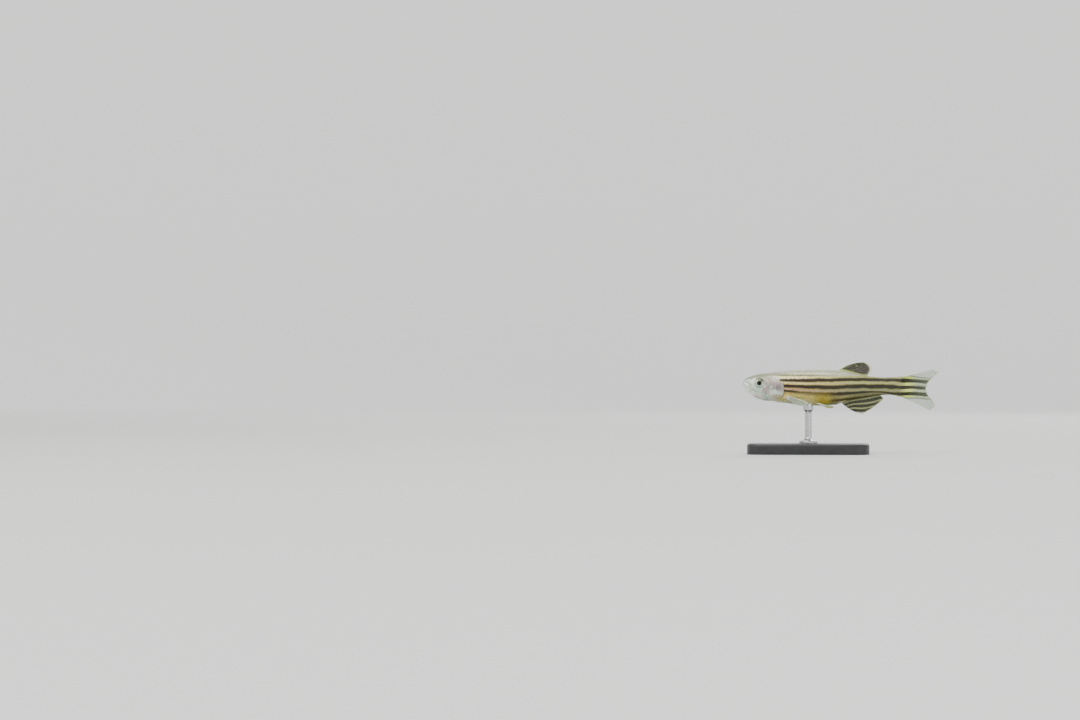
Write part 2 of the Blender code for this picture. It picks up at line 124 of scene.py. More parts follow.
# Heights of the edges between the bands of the flank, from the back down, at some
# distances: back, thin line, pale, dark, pale, dark, pale, dark, pale, dark, pale.
STRIPE_STATIONS = (8.2, 11.7, 15.0, 18.3, 21.6, 24.9, 28.2, 31.5, 32.8)
STRIPE_EDGES = np.array(
    (
        (2.42, 2.42, 2.42, 2.42, 2.42, 2.36, 2.25, 2.2, 2.2),
        (2.06, 2.06, 2.06, 2.06, 2.10, 2.10, 2.05, 2.0, 2.0),
        (1.49, 1.53, 1.55, 1.57, 1.67, 1.65, 1.57, 1.53, 1.46),
        (0.93, 0.87, 0.85, 0.91, 1.05, 1.05, 0.99, 0.91, 0.84),
        (0.34, 0.27, 0.17, 0.15, 0.29, 0.37, 0.33, 0.21, 0.08),
        (-0.25, -0.46, -0.60, -0.66, -0.54, -0.48, -0.50, -0.58, -0.55),
        (-0.68, -1.03, -1.26, -1.28, -1.16, -1.05, -1.07, -1.32, -1.35),
        (-1.10, -1.59, -1.98, -2.07, -1.80, -1.43, -1.32, -1.84, -1.97),
        (-4.6, -4.6, -3.7, -2.85, -2.38, -1.98, -1.63, -2.15, -2.5),
        (-5.1, -5.1, -4.2, -3.37, -2.90, -2.54, -2.07, -2.45, -2.8),
    )
)
FIRST_STRIPE_START, FIRST_STRIPE_LOW = 7.45, 0.62  # the upper one starts ahead of the others

PLATE_SIDE = 7  # points along each side of a scale's grid
SCALES_START, TAIL_CLEARED = 5.0, 0.35  # start of the rows, and length left bare at the end
SCALE_SINK = 0.06  # of a scale's root under the skin

PUPIL_HEIGHT, LENS_BULGE = 0.48, 0.12
IRIS_HEIGHT, IRIS_EDGE = 0.60, 0.95
CORNEA_FOOT, CORNEA_HEIGHT = 0.24, 0.42

FIN_ROWS, COLUMNS_PER_RAY = 96, 14
RAY_FORKS = (0.42, 0.70)  # shares of a ray's length where it forks
RAY_JOINT = 0.24  # length of a ray's joints
SCALLOP = 0.018  # share of a ray's length by which the web between two rays is shorter

# Heights of the lines of the banded fins at some distances: dark and pale lines take
# turns. The tail fin's first and last lines are the edges of its clear lobes.
FIN_LINES = {
    "anal": (
        (20.5, 22.8, 24.1, 25.3, 26.6, 27.8, 29.0),
        (
            (-3.20, -2.54, -2.34, -2.11, -1.86, -1.66, -1.50),
            (-3.60, -2.89, -2.69, -2.52, -2.23, -2.03, -1.85),
            (-3.95, -3.31, -3.14, -3.04, -2.75, -2.48, -2.25),
            (-4.35, -3.72, -3.62, -3.51, -3.35, -2.96, -2.65),
            (-4.70, -4.09, -4.06, -4.03, -3.76, -3.42, -3.10),
            (-5.10, -4.50, -4.62, -4.49, -4.17, -3.85, -3.55),
            (-5.45, -4.95, -5.02, -4.90, -4.62, -4.30, -4.00),
            (-5.90, -5.35, -5.45, -5.40, -5.05, -4.75, -4.50),
        ),
    ),
    "caudal": (
        (32.0, 33.2, 34.8, 36.1, 37.3, 38.6, 40.0),
        (
            (2.45, 2.40, 2.20, 2.00, 1.85, 1.75, 1.65),
            (1.92, 1.92, 1.76, 1.65, 1.55, 1.45, 1.35),
            (1.16, 1.14, 1.10, 1.02, 0.90, 0.82, 0.75),
            (0.40, 0.36, 0.40, 0.37, 0.23, 0.18, 0.12),
            (-0.24, -0.24, -0.22, -0.30, -0.38, -0.42, -0.45),
            (-0.94, -0.93, -0.85, -0.97, -1.03, -1.05, -1.10),
            (-1.66, -1.60, -1.54, -1.60, -1.72, -1.80, -1.85),
            (-2.30, -2.17, -2.20, -2.24, -2.38, -2.48, -2.60),
            (-2.75, -2.62, -2.62, -2.66, -2.80, -2.95, -3.10),
        ),
    ),
}

# The stand: roundings of the base, and the rod's radii with their heights over the
# base, with those over the foot of its cup, and with their shares of the cup's wall.
BASE_LOW, BASE_HIGH = (np.array(corner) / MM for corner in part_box("stand_base"))
BASE_CORNER, BASE_ROUND, BASE_FOOT_ROUND = 3.0, 0.45, 0.15
ROD_FOOT = (
    (0.05, 0.0), (1.80, 0.0), (1.90, 0.10), (1.90, 0.42),
    (1.80, 0.54), (1.05, 0.72), (0.80, 0.95), (0.70, 1.35),
)
ROD_NECK = ((0.70, -0.42), (0.78, -0.20), (0.98, -0.02), (1.05, 0.10))
CUP_WALL = (
    (1.05, 0.4), (1.05, 0.8), (1.05, 0.93), (1.03, 0.985), (0.98, 1.0),
    (0.90, 1.0), (0.6, 1.0), (0.3, 1.0), (0.05, 1.0),
)
ROD_SIDES = 64
CUP_DEPTH, CUP_SINK = 1.0, 0.10  # of its foot under the belly, and of its rim in the skin

# The stage, in metres: each light's name, place, width and power, and the camera.
LIGHTS = (
    ("key", (0.38, -0.26, 0.56), 0.55, 6.0),
    ("fill", (0.50, 0.45, 0.20), 0.60, 1.2),
    ("back", (-0.40, 0.15, 0.45), 0.50, 3.4),
)
SKY_COLOUR, SKY_STRENGTH = (0.92, 0.95, 1.0, 1.0), 0.32
FLOOR_REACH, FLOOR_BEND, WALL_HEIGHT, WALL_GLOW = 0.9, 0.35, 0.7, 0.34
CAMERA_PLACE, FRAME_MIDDLE = Vector((0.62, 0.0066, 0.0165)), Vector((0, -0.0555, 0.0194))
SENSOR_WIDTH, LENS_LENGTH = 36.0, 100.0  # in millimetres


def curve_through(knots, values, at):
    """Cubic pieces through the values, which share their slopes, read inside the knots."""
    knots, values = np.asarray(knots, float), np.asarray(values, float)
    at = np.clip(at, knots[0], knots[-1])
    slopes = np.gradient(values, knots, axis=0)
    piece = np.clip(np.searchsorted(knots, at, side="right") - 1, 0, len(knots) - 2)
    width = knots[piece + 1] - knots[piece]
    u = (at - knots[piece]) / width
    if values.ndim > 1:
        u, width = u[..., None], width[..., None]
    return (
        (2 * u**3 - 3 * u**2 + 1) * values[piece]
        + (u**3 - 2 * u**2 + u) * width * slopes[piece]
        + (3 * u**2 - 2 * u**3) * values[piece + 1]
        + (u**3 - u**2) * width * slopes[piece + 1]
    )


def rise(value, low, high):
    """A smooth S from 0 at low to 1 at high, which may also be the lower of the two."""
    share = np.clip((value - low) / (high - low), 0, 1)
    return share * share * (3 - 2 * share)


def hill(value, middle, width):
    """A round hill of height 1 over the middle: the bell curve of the distance in widths."""
    return np.exp(-(((value - middle) / width) ** 2))


def body_outline(d):
    """Back height, belly depth and half width at each distance, as three arrays."""
    found = curve_through(BODY_OUTLINE[:, 0], BODY_OUTLINE[:, 1:], d)
    return np.moveaxis(found, -1, 0)


def body_point(d, turn, depth=0.0):
    """The body's surface less a depth: a squared ellipse at each distance from the snout.

    The turn starts at the belly. The half width goes with its sine and the height
    with minus its cosine, each raised to 2 over the fullness. The snout is rounded
    off as a squared circle, and the flesh thins towards the tail fin.
    """
    back, belly, half_width = body_outline(d)
    across, up = np.sin(turn), -np.cos(turn)
    power = np.where(up > 0, 2 / BACK_FULLNESS, 2 / BELLY_FULLNESS)
    reach = np.where(up > 0, back - WIDEST_HEIGHT, WIDEST_HEIGHT - belly) - depth
    x = (half_width - depth) * np.sign(across) * np.abs(across) ** power
    z = WIDEST_HEIGHT + reach * np.sign(up) * np.abs(up) ** power
    ahead = np.clip(1 - d / SNOUT_ROUNDING, 0, 1)
    snout = (1 - ahead**2.6) ** (1 / 2.6)
    thin = 1 - 0.8 * rise(d, BODY_LENGTH - TAIL_THINNING, BODY_LENGTH)
    z = SNOUT_MIDDLE + (z - SNOUT_MIDDLE) * snout
    return np.stack(np.broadcast_arrays(x * snout * thin, d, z), axis=-1)


def side_of_body(d, z):
    """How far the solid's side is from the middle plane, at a distance and a height."""
    back, belly, half_width = body_outline(d)
    above = z > WIDEST_HEIGHT
    reach = np.where(above, back, belly) - WIDEST_HEIGHT
    fullness = np.where(above, BACK_FULLNESS, BELLY_FULLNESS)
    share = np.clip(np.abs((z - WIDEST_HEIGHT) / reach), 0, 1)
    return half_width * (1 - share**fullness) ** (1 / fullness)


def underside_of_body(x, d):
    """Height of the solid's underside at an offset and a distance."""
    _, belly, half_width = body_outline(d)
    share = np.clip(np.abs(x) / half_width, 0, 1)
    fall = (1 - share**BELLY_FULLNESS) ** (1 / BELLY_FULLNESS)
    return WIDEST_HEIGHT - (WIDEST_HEIGHT - belly) * fall


def bent_line(line, steps=12):
    """Places on a line from its start to its end, with the middle moved by its bow."""
    start, end, bow = (np.array(part, float) for part in line)
    u = np.linspace(0, 1, steps)[:, None]
    return start + (end - start) * u + bow * 4 * u * (1 - u)


def distance_to_line(d, z, line):
    """Distance to the nearest place on a bent line, by its short straight pieces."""
    places = bent_line(line)
    nearest = np.full(np.broadcast(d, z).shape, np.inf)
    for start, end in zip(places[:-1], places[1:]):
        step = end - start
        share = ((d - start[0]) * step[0] + (z - start[1]) * step[1]) / (step @ step)
        share = np.clip(share, 0, 1)
        gap = np.hypot(d - start[0] - share * step[0], z - start[1] - share * step[1])
        nearest = np.minimum(nearest, gap)
    return nearest


def gill_margin(d, turn):
    """How far a place lies ahead of the gill cover's rear edge, on either side."""
    degrees = np.degrees(np.pi - np.abs(np.pi - turn))
    return curve_through(*GILL_EDGE, degrees) - d


def head_folds(d, z, turn):
    """Height of the folds over the smooth body, and how creased each place is.

    The height is a sum of hills and hollows along lines and rings on the head, the
    throat and the vent. The crease is 1 at the bottom of a slit and 0 on open skin;
    the skin's finish darkens it as painted shade.
    """
    degrees = np.degrees(np.pi - np.abs(np.pi - turn))
    eye = np.hypot(d - EYE_PLACE[0], z - EYE_PLACE[1]) / EYE_RADIUS
    relief = -0.32 * rise(eye, 0.95, 0.80) + 0.035 * hill(eye, 1.06, 0.09)
    relief -= 0.03 * hill(eye, 1.30, 0.10) * rise(z, 1.6, 0.9)
    # crease is painted shade: a ring where the eye sits in its socket, then the slits, folds and nostrils
    # below
    crease = 0.55 * hill(eye, 0.95, 0.05)

    mouth = distance_to_line(np.maximum(d, MOUTH_LINE[0][0]), z, MOUTH_LINE)
    relief += 0.055 * hill(mouth, 0.16, 0.09)
    crease = np.maximum(crease, 0.38 * hill(mouth, 0.10, 0.13))
    for away, depth, width, painted_shade in (
        (mouth, 0.11, 0.055, 1.0),
        (distance_to_line(d, z, LIP_FOLD), 0.045, 0.07, 0.45),
        (distance_to_line(d, z, JAW_FOLD), 0.04, 0.09, 0.35),
        (distance_to_line(d, z, BROW_GROOVE), 0.025, 0.12, 0.15),
        (distance_to_line(d, z, CHEEK_GROOVE), 0.06, 0.08, 0.40),
        (distance_to_line(d, z, CHEEK_SEAM), 0.03, 0.07, 0.35),
    ):
        relief -= depth * hill(away, 0, width)
        crease = np.maximum(crease, painted_shade * hill(away, 0, width * 0.8))
    relief += 0.03 * hill(distance_to_line(d, z, CHEEK_GROOVE), 0.28, 0.16)
    for place, height, radius in NOSTRILS:
        away = np.hypot(d - place, z - height) / radius
        relief += 0.035 * hill(away, 1.45, 0.4) - 0.12 * hill(away, 0, 0.9)
        crease = np.maximum(crease, hill(away, 0, 0.85))

    ahead = gill_margin(d, turn)
    gate = 1 - rise(degrees, *GILL_TOP)
    flap = rise(ahead, -0.03, 0.07) * np.exp(-np.maximum(ahead, 0) / 1.5)
    relief += gate * (0.12 * flap - 0.08 * hill(ahead, -0.13, 0.11))
    # painted shade in the gap behind the gill cover's edge
    crease = np.maximum(crease, gate * hill(ahead, -0.10, 0.09))
    throat = rise(degrees, 52, 34) * rise(ahead, 0.15, 0.4) * rise(ahead, 2.4, 1.6)
    folds = np.cos(ahead * 2 * np.pi / 0.42)
    relief += 0.016 * throat * folds
    # painted shade in the throat's folds
    crease = np.maximum(crease, 0.35 * throat * rise(folds, -0.2, -1.0))
    isthmus = rise(degrees, 14, 4) * rise(d, 2.6, 3.4) * rise(d, 8.6, 6.2)
    relief -= 0.10 * isthmus
    relief += 0.12 * hill(d, VENT_PLACE, 0.35) * hill(degrees, 0, 10)
    return relief, crease


def between_edges(value, edges):
    """Counts the edges that a value has passed, with shares between them."""
    gaps = np.diff(edges, axis=-1)
    return np.clip((value[..., None] - edges[..., :-1]) / gaps, 0, 1).sum(-1)


def stripe_coordinate(d, z):
    """A number that rises down the flank by one from each edge between two bands to the next."""
    edges = curve_through(STRIPE_STATIONS, STRIPE_EDGES.T, d)
    above = np.minimum(edges[..., 0] - z, 0)
    below = np.maximum(edges[..., -1] - z, 0)
    return between_edges(-z, -edges) + 2 * (above + below)


def behind_head(d, z, turn):
    """0 on the head and 1 or more on the flank.

    The step is sharp behind the gill cover, and ahead of the upper stripes it
    spreads out up to the back.
    """
    upper = rise(z, FIRST_STRIPE_LOW, FIRST_STRIPE_LOW + 0.25)
    back = rise(z, 1.5, 2.1)
    sharp = -gill_margin(d, turn) / 0.2
    blunt = (d - FIRST_STRIPE_START + 0.35 * (z - 1.2) ** 2) / 0.35
    spread = (d - 5.6) / 2.6
    return sharp * (1 - upper) + upper * (blunt * (1 - back) + spread * back)


def body_marks(points, turn):
    """The values that the skin's and the scales' finish read, at each point."""
    d, z = points[..., 1], points[..., 2]
    return {
        "along": d / BODY_LENGTH,
        "band": stripe_coordinate(d, z),
        "behind_head": behind_head(d, z, turn),
        "up": 1 - np.abs(1 - turn / np.pi),
        "side_place": np.stack((d, z, 0 * d), axis=-1),
    }


def normals_of(points):
    """Unit normals of a grid of points, from the cross product of its two slopes."""
    normal = np.cross(np.gradient(points, axis=0), np.gradient(points, axis=1))
    return normal / np.maximum(np.linalg.norm(normal, axis=-1, keepdims=True), 1e-12)


def tube_faces(rows, columns):
    """Faces of closed rings in a row, with a pole before the first ring and one after the last."""
    ring = np.arange(rows * columns).reshape(rows, columns)
    after = np.roll(ring, -1, axis=1)
    quads = np.stack((ring[:-1], after[:-1], after[1:], ring[1:]), axis=-1)
    front, rear = rows * columns, rows * columns + 1
    fan_ahead = np.stack((np.full(columns, front), after[0], ring[0]), axis=-1)
    fan_behind = np.stack((np.full(columns, rear), ring[-1], after[-1]), axis=-1)
    return quads.reshape(-1, 4).tolist() + fan_ahead.tolist() + fan_behind.tolist()


def with_poles(values):
    """Adds the mean of the first ring and of the last to a grid of rings, as one flat list."""
    flat = values.reshape(-1, *values.shape[2:])
    return np.concatenate((flat, values[:1].mean(1), values[-1:].mean(1)))


def pillow_faces(rows, columns, count=1):
    """Faces of two grids that share their outer edge, for a number of such pillows in a row."""
    front = np.arange(rows * columns).reshape(rows, columns)
    back = front.copy()
    inner = (rows - 2) * (columns - 2)
    back[1:-1, 1:-1] = rows * columns + np.arange(inner).reshape(rows - 2, -1)
    quads = []
    for grid, order in ((front, (0, 1, 2, 3)), (back, (3, 2, 1, 0))):
        corners = (grid[:-1, :-1], grid[:-1, 1:], grid[1:, 1:], grid[1:, :-1])
        quads.append(np.stack([corners[n] for n in order], axis=-1).reshape(-1, 4))
    one = np.concatenate(quads)
    shift = np.arange(count)[:, None, None] * (rows * columns + inner)
    return (one + shift).reshape(-1, 4).tolist()


def on_pillows(front, back=None):
    """Lists each front grid's points or values, then its back's inside their shared edge.

    The first axis counts the pillows. Values without a back repeat the front's.
    """
    back = front if back is None else back
    count, rest = len(front), front.shape[3:]
    inner = back[:, 1:-1, 1:-1].reshape(count, -1, *rest)
    return np.concatenate((front.reshape(count, -1, *rest), inner), axis=1)


def turn_outwards(mesh):
    """Turns all faces over if the volume they close comes out negative."""
    points = np.empty(len(mesh.vertices) * 3)
    mesh.vertices.foreach_get("co", points)
    mesh.calc_loop_triangles()
    corners = np.empty(len(mesh.loop_triangles) * 3, dtype=np.int32)
    mesh.loop_triangles.foreach_get("vertices", corners)
    a, b, c = points.reshape(-1, 3)[corners.reshape(-1, 3)].transpose(1, 0, 2)
    if np.einsum("ij,ij->", a - a.mean(0), np.cross(b - a.mean(0), c - a.mean(0))) < 0:
        mesh.flip_normals()


def add_piece(name, points, faces, material, stands_for=(), values=None, crease=180):
    """Makes a piece from points in millimetres, and stores its values as attributes."""
    world = (points.reshape(-1, 3) + (0, -ROD_PLACE, AXIS_HEIGHT)) * MM
    mesh = bpy.data.meshes.new(name)
    mesh.from_pydata(world.tolist(), [], faces)
    turn_outwards(mesh)
    for label, numbers in (values or {}).items():
        is_vector = numbers.size == points.size
        kind, field = ("FLOAT_VECTOR", "vector") if is_vector else ("FLOAT", "value")
        layer = mesh.attributes.new(label, kind, "POINT")
        layer.data.foreach_set(field, numbers.astype(np.float32).ravel())
    mesh.shade_smooth()
    if crease < 180:
        mesh.set_sharp_from_angle(angle=math.radians(crease))
    mesh.materials.append(material)
    piece = place_object(name, mesh)
    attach(piece, "root")
    if stands_for:
        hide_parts(*stands_for)
    return piece


def add_rings(name, rings, material, stands_for=(), values=None, crease=180):
    """Makes a piece from closed rings in a row, with a pole at each end."""
    values = {label: with_poles(grid) for label, grid in (values or {}).items()}
    faces = tube_faces(*rings.shape[:2])
    return add_piece(name, with_poles(rings), faces, material, stands_for, values, crease)


def turned(radii, heights, sides):
    """Turns a profile of radii and heights round the upright axis: circles of each radius."""
    turn = np.arange(sides) * 2 * np.pi / sides
    radii, heights = np.asarray(radii)[:, None], np.asarray(heights)[:, None]
    circles = (radii * np.cos(turn), radii * np.sin(turn), heights)
    return np.stack(np.broadcast_arrays(*circles), axis=-1)


def linear(colour):
    """A colour given in display tones as the shaders want it."""
    tones = np.array(colour[:3])
    low = tones <= 0.04045
    return tuple(np.where(low, tones / 12.92, ((tones + 0.055) / 1.055) ** 2.4))


class Finish:
    """A material with short ways to add nodes: a value is a number, a colour or a socket."""

    def __init__(self, name, **settings):
        self.material = bpy.data.materials.new(name)
        self.material.use_nodes = True
        self.tree = self.material.node_tree
        self.shader = self.tree.nodes["Principled BSDF"]
        for label, value in settings.items():
            self.shader.inputs[label.replace("_", " ")].default_value = value

    def feed(self, socket, value):
        if isinstance(value, bpy.types.NodeSocket):
            self.tree.links.new(value, socket)
        elif isinstance(value, (int, float)):
            socket.default_value = value
        elif len(socket.default_value) == 4:
            socket.default_value = (*value, 1.0)
        else:
            socket.default_value = value

    def add(self, kind, inputs, **settings):
        node = self.tree.nodes.new("ShaderNode" + kind)
        for label, value in settings.items():
            setattr(node, label, value)
        for label, value in inputs.items():
            self.feed(node.inputs[label], value)
        return node

    def set(self, label, value):
        self.feed(self.shader.inputs[label], value)

    def read(self, name, output="Fac"):
        return self.add("Attribute", {}, attribute_name=name).outputs[output]

    def places(self, stretch=(1, 1, 1)):
        """Object coordinates in millimetres, stretched along the axes."""
        source = self.add("TexCoord", {}).outputs["Object"]
        factors = [factor / MM for factor in stretch]
        scaled = self.add("Mapping", {"Vector": source, "Scale": factors})
        return scaled.outputs["Vector"]

    def math(self, operation, first, second=0.0):
        return self.add("Math", {0: first, 1: second}, operation=operation).outputs[0]

    def map(self, value, low, high, to_low=0.0, to_high=1.0):
        inputs = {"Value": value, 1: low, 2: high, 3: to_low, 4: to_high}
        return self.add("MapRange", inputs, interpolation_type="SMOOTHSTEP").outputs[0]

    def mix(self, factor, first, second, blend="MIX"):
        inputs = {0: factor, 6: first, 7: second}
        node = self.add("Mix", inputs, data_type="RGBA", blend_type=blend)
        return node.outputs[2]

    def product(self, first, *others):
        for other in others:
            first = self.math("MULTIPLY", first, other)
        return first

    def wash(self, colour, paint, value, low, high, strength=1.0):
        """Lays a paint over a colour, from none where the value is low to its strength where high."""
        return self.mix(self.map(value, low, high, 0.0, strength), colour, paint)

    def dim(self, colour, factor):
        return self.mix(1.0, colour, factor, "MULTIPLY")

    def ramp(self, value, low, high, stops):
        """Colours at places between low and high, with straight blends between them."""
        share = self.add("MapRange", {"Value": value, 1: low, 2: high}).outputs[0]
        node = self.add("ValToRGB", {"Fac": share})
        elements = node.color_ramp.elements
        while len(elements) < len(stops):
            elements.new(1.0)
        for element, (place, colour) in zip(elements, stops):
            element.position = (place - low) / (high - low)
            element.color = (*colour, 1.0)
        return node.outputs["Color"]

    def around(self, value, reach):
        """Moves a value that wanders about a half to wander about zero, and scales it."""
        return self.math("MULTIPLY", self.math("SUBTRACT", value, 0.5), reach)

    def noise(self, places, scale, detail=3.0, roughness=0.5):
        inputs = {
            "Vector": places,
            "Scale": scale,
            "Detail": detail,
            "Roughness": roughness,
        }
        return self.add("TexNoise", inputs).outputs["Fac"]

    def cells(self, places, scale, randomness=1.0):
        inputs = {"Vector": places, "Scale": scale, "Randomness": randomness}
        return self.add("TexVoronoi", inputs).outputs["Distance"]

    def near(self, place, full, end, squeeze=(1, 1), wander=0.0):
        """1 within a radius of a place on the fish's side, and 0 outside a larger radius."""
        spot = self.read("side_place", "Vector")
        away = self.add("VectorMath", {0: spot, 1: (*place, 0)}, operation="SUBTRACT")
        inputs = {0: away.outputs[0], 1: (*squeeze, 1)}
        flat = self.add("VectorMath", inputs, operation="MULTIPLY")
        reach = self.add("VectorMath", {0: flat.outputs[0]}, operation="LENGTH")
        reach = self.math("ADD", reach.outputs["Value"], wander)
        return self.map(reach, full, end, 1.0, 0.0)

    def bump(self, height, depth, strength=1.0, under=None):
        inputs = {"Height": height, "Distance": depth * MM, "Strength": strength}
        if under is not None:
            inputs["Normal"] = under
        return self.add("Bump", inputs).outputs["Normal"]


def shade(name, description, tones):
    """A colour property in display tones from 0 to 255."""
    return FloatVectorProperty(
        name=name,
        description=description,
        subtype="COLOR_GAMMA",
        min=0,
        max=1,
        default=[tone / 255 for tone in tones],
    )


def length(name, description, millimetres):
    return FloatProperty(
        name=name,
        description=description,
        subtype="DISTANCE",
        unit="LENGTH",
        precision=5,
        min=0,
        default=millimetres * MM,
    )


class DanioSizes(PropertyGroup):
    coat_depth: length("Coat depth", "Depth of the skin under the solids", 0.05)
    scale_rows: IntProperty(
        name="Scale rows", description="Rows of scales round the body", default=26, min=8
    )
    scale_pitch_front: length("Front pitch", "Spacing of the scales behind the head", 0.95)
    scale_pitch_rear: length("Rear pitch", "Spacing of the scales at the tail", 0.62)
    scale_lift: length("Scale lift", "Height of a scale's free edge over the skin", 0.055)
    scale_thickness: length("Scale thickness", "Thickness of a scale", 0.022)
    pupil_radius: length("Pupil radius", "Half the width of the pupil", 0.47)
    web_thickness: length("Web thickness", "Thickness of a fin between its rays", 0.07)
    ray_thickness: length("Ray thickness", "Thickness of a fin's ray at its root", 0.26)


class DanioColours(PropertyGroup):
    back: shade("Back", "Upper edge of the back", (158, 160, 134))
    back_dark: shade("Midline of the back", "Seen from above", (104, 102, 70))
    upper_flank: shade("Upper flank", "Just over the thin line", (206, 206, 180))
    thin_line: shade("Thin line", "Faint line over the first stripe", (116, 112, 70))
    pale_front: shade("Pale bands, front", "Cream behind the head", (224, 208, 142))
    pale_middle: shade("Pale band, middle", "Pinkish cream under the second stripe", (182, 154, 116))
    pale_rear: shade("Pale bands, rear", "Yellowish towards the tail", (174, 174, 112))
    pale_tail: shade("Pale band, tail", "Third pale band towards the tail", (142, 146, 104))
    gold_front: shade("Gold edges, front", "Edges of the bands behind the head", (146, 118, 52))
    gold_rear: shade("Gold edges, rear", "Edges of the bands at the tail", (112, 106, 54))
    olive_pale: shade("Pale olive", "Lowest pale band, at the tail", (110, 113, 76))
    olive_dark: shade("Dark olive", "Lowest dark band", (70, 68, 38))
    dark_front: shade("Dark bands, front", "Olive black behind the head", (32, 22, 2))
    dark_rear: shade("Dark bands, rear", "Olive grey towards the tail", (34, 33, 15))
    belly_gold: shade("Golden belly", "Side of the belly", (212, 196, 110))
    belly_pale: shade("Pale belly", "Underside", (218, 220, 180))
    mustard: shade("Mustard", "Patch ahead of the anal fin", (150, 134, 24))
    head_silver: shade("Head silver", "Cheeks", (204, 208, 194))
    head_white: shade("Head white", "Snout and bright flecks", (232, 238, 228))
    head_mint: shade("Head mint", "Green tint round the eye and on the snout", (168, 198, 176))
    head_lilac: shade("Head lilac", "Tint over the nostrils", (196, 190, 208))
    gill_mauve: shade("Gill mauve", "Rear of the gill cover", (104, 88, 96))
    gill_rose: shade("Gill rose", "Over the gill cover", (186, 158, 150))
    gill_pink: shade("Gill pink", "Streak behind the eye", (150, 84, 120))
    gill_olive: shade("Gill olive", "Lower edge of the gill cover", (150, 138, 84))
    # painted reflection: the grey ring of a round white spot on the gill cover
    reflection_ring: shade("Ring grey", "Ring on the gill cover", (112, 116, 108))
    crown: shade("Crown", "Top of the head", (140, 142, 112))
    # painted shade at the bottom of the slits and folds
    crease: shade("Creases", "Bottom of the slits and folds", (70, 50, 44))
    # painted sheen: rose and mint tints that the scales take one by one
    scale_rose: shade("Rose sheen", "Tint of some scales", (255, 226, 214))
    scale_mint: shade("Mint sheen", "Tint of other scales", (222, 250, 238))
    barbel: shade("Barbels", "Feelers at the mouth", (150, 144, 110))
    pupil: shade("Pupil", "Black of the pupil", (6.6, 6.6, 6.6))
    iris_silver: shade("Iris silver", "Ring round the pupil", (180, 186, 168))
    iris_mint: shade("Iris mint", "Lower front of the ring", (150, 184, 166))
    iris_shadow: shade("Iris shadow", "Dark arc over the pupil", (76, 80, 54))
    fin_ray: shade("Fin rays", "Bones of the fins", (196, 204, 174))
    fin_web: shade("Clear web", "Skin between the rays", (168, 182, 166))
    fin_pale: shade("Pale fin bands", "Light lines of the fins", (142, 146, 98))
    fin_grey: shade("Fin grey", "Dark stripes at the edge of the tail fin", (38, 48, 32))
    fin_olive: shade("Fin olive", "Dark bands of the fins", (34, 36, 13))
    fin_dusk: shade("Fin dusk", "Purplish middle of the dorsal fin", (60, 50, 50))
    fin_stripe: shade("Tail stripes", "Light stripes of the tail fin", (170, 180, 146))
    fin_yellow: shade("Fin yellow", "Base of the fins", (212, 224, 116))
    floor: shade("Floor", "Pale floor", (205, 205, 202))
    wall: shade("Backdrop", "Pale wall that the floor rises to", (236, 236, 234))


def palette():
    colours = bpy.context.scene.danio_colours
    return {name: linear(getattr(colours, name)) for name in colours.__annotations__}


def flank_colours(finish, tone):
    """The stripes from the back to the belly, in a front and a rear palette that blend along the body."""
    waver = finish.noise(finish.places((1, 0.6, 1)), 1.1, 2.0)
    fray = finish.noise(finish.places(), 7.0, 3.0)
    band = finish.read("band")
    for wave, reach in ((waver, 0.55), (fray, 0.42)):
        band = finish.math("ADD", band, finish.around(wave, reach))
    halves = []
    for end in ("front", "rear"):
        pale, dark, gold = (tone[f"{part}_{end}"] for part in ("pale", "dark", "gold"))
        rear = end == "rear"
        middle = tone["pale_tail"] if rear else tone["pale_middle"]
        belly = tone["olive_pale"] if rear else tone["belly_gold"]
        line = tone["upper_flank"] if rear else tone["thin_line"]
        stops = [(-2.4, tone["back"]), (-0.7, tone["upper_flank"])]
        for edge, above, below in (
            (0, tone["upper_flank"], line),
            (1, line, pale),
            (2, pale, dark),
            (3, dark, pale),
            (4, pale, dark),
            (5, dark, middle),
            (6, middle, dark),
            (7, dark, belly),
            (8, belly, tone["olive_dark"]),
            (9, tone["olive_dark"], tone["belly_pale"]),
        ):
            widen = 0.05 * (below == dark) - 0.05 * (above == dark)
            stops.append((edge - 0.22 - widen, above))
            if edge > 1:
                stops.append((edge - widen, gold))
            stops.append((edge + 0.20 - widen, below))
        halves.append(finish.ramp(band, -3.0, 10.5, stops))
    return finish.mix(finish.map(finish.read("along"), 0.36, 0.74), *halves)


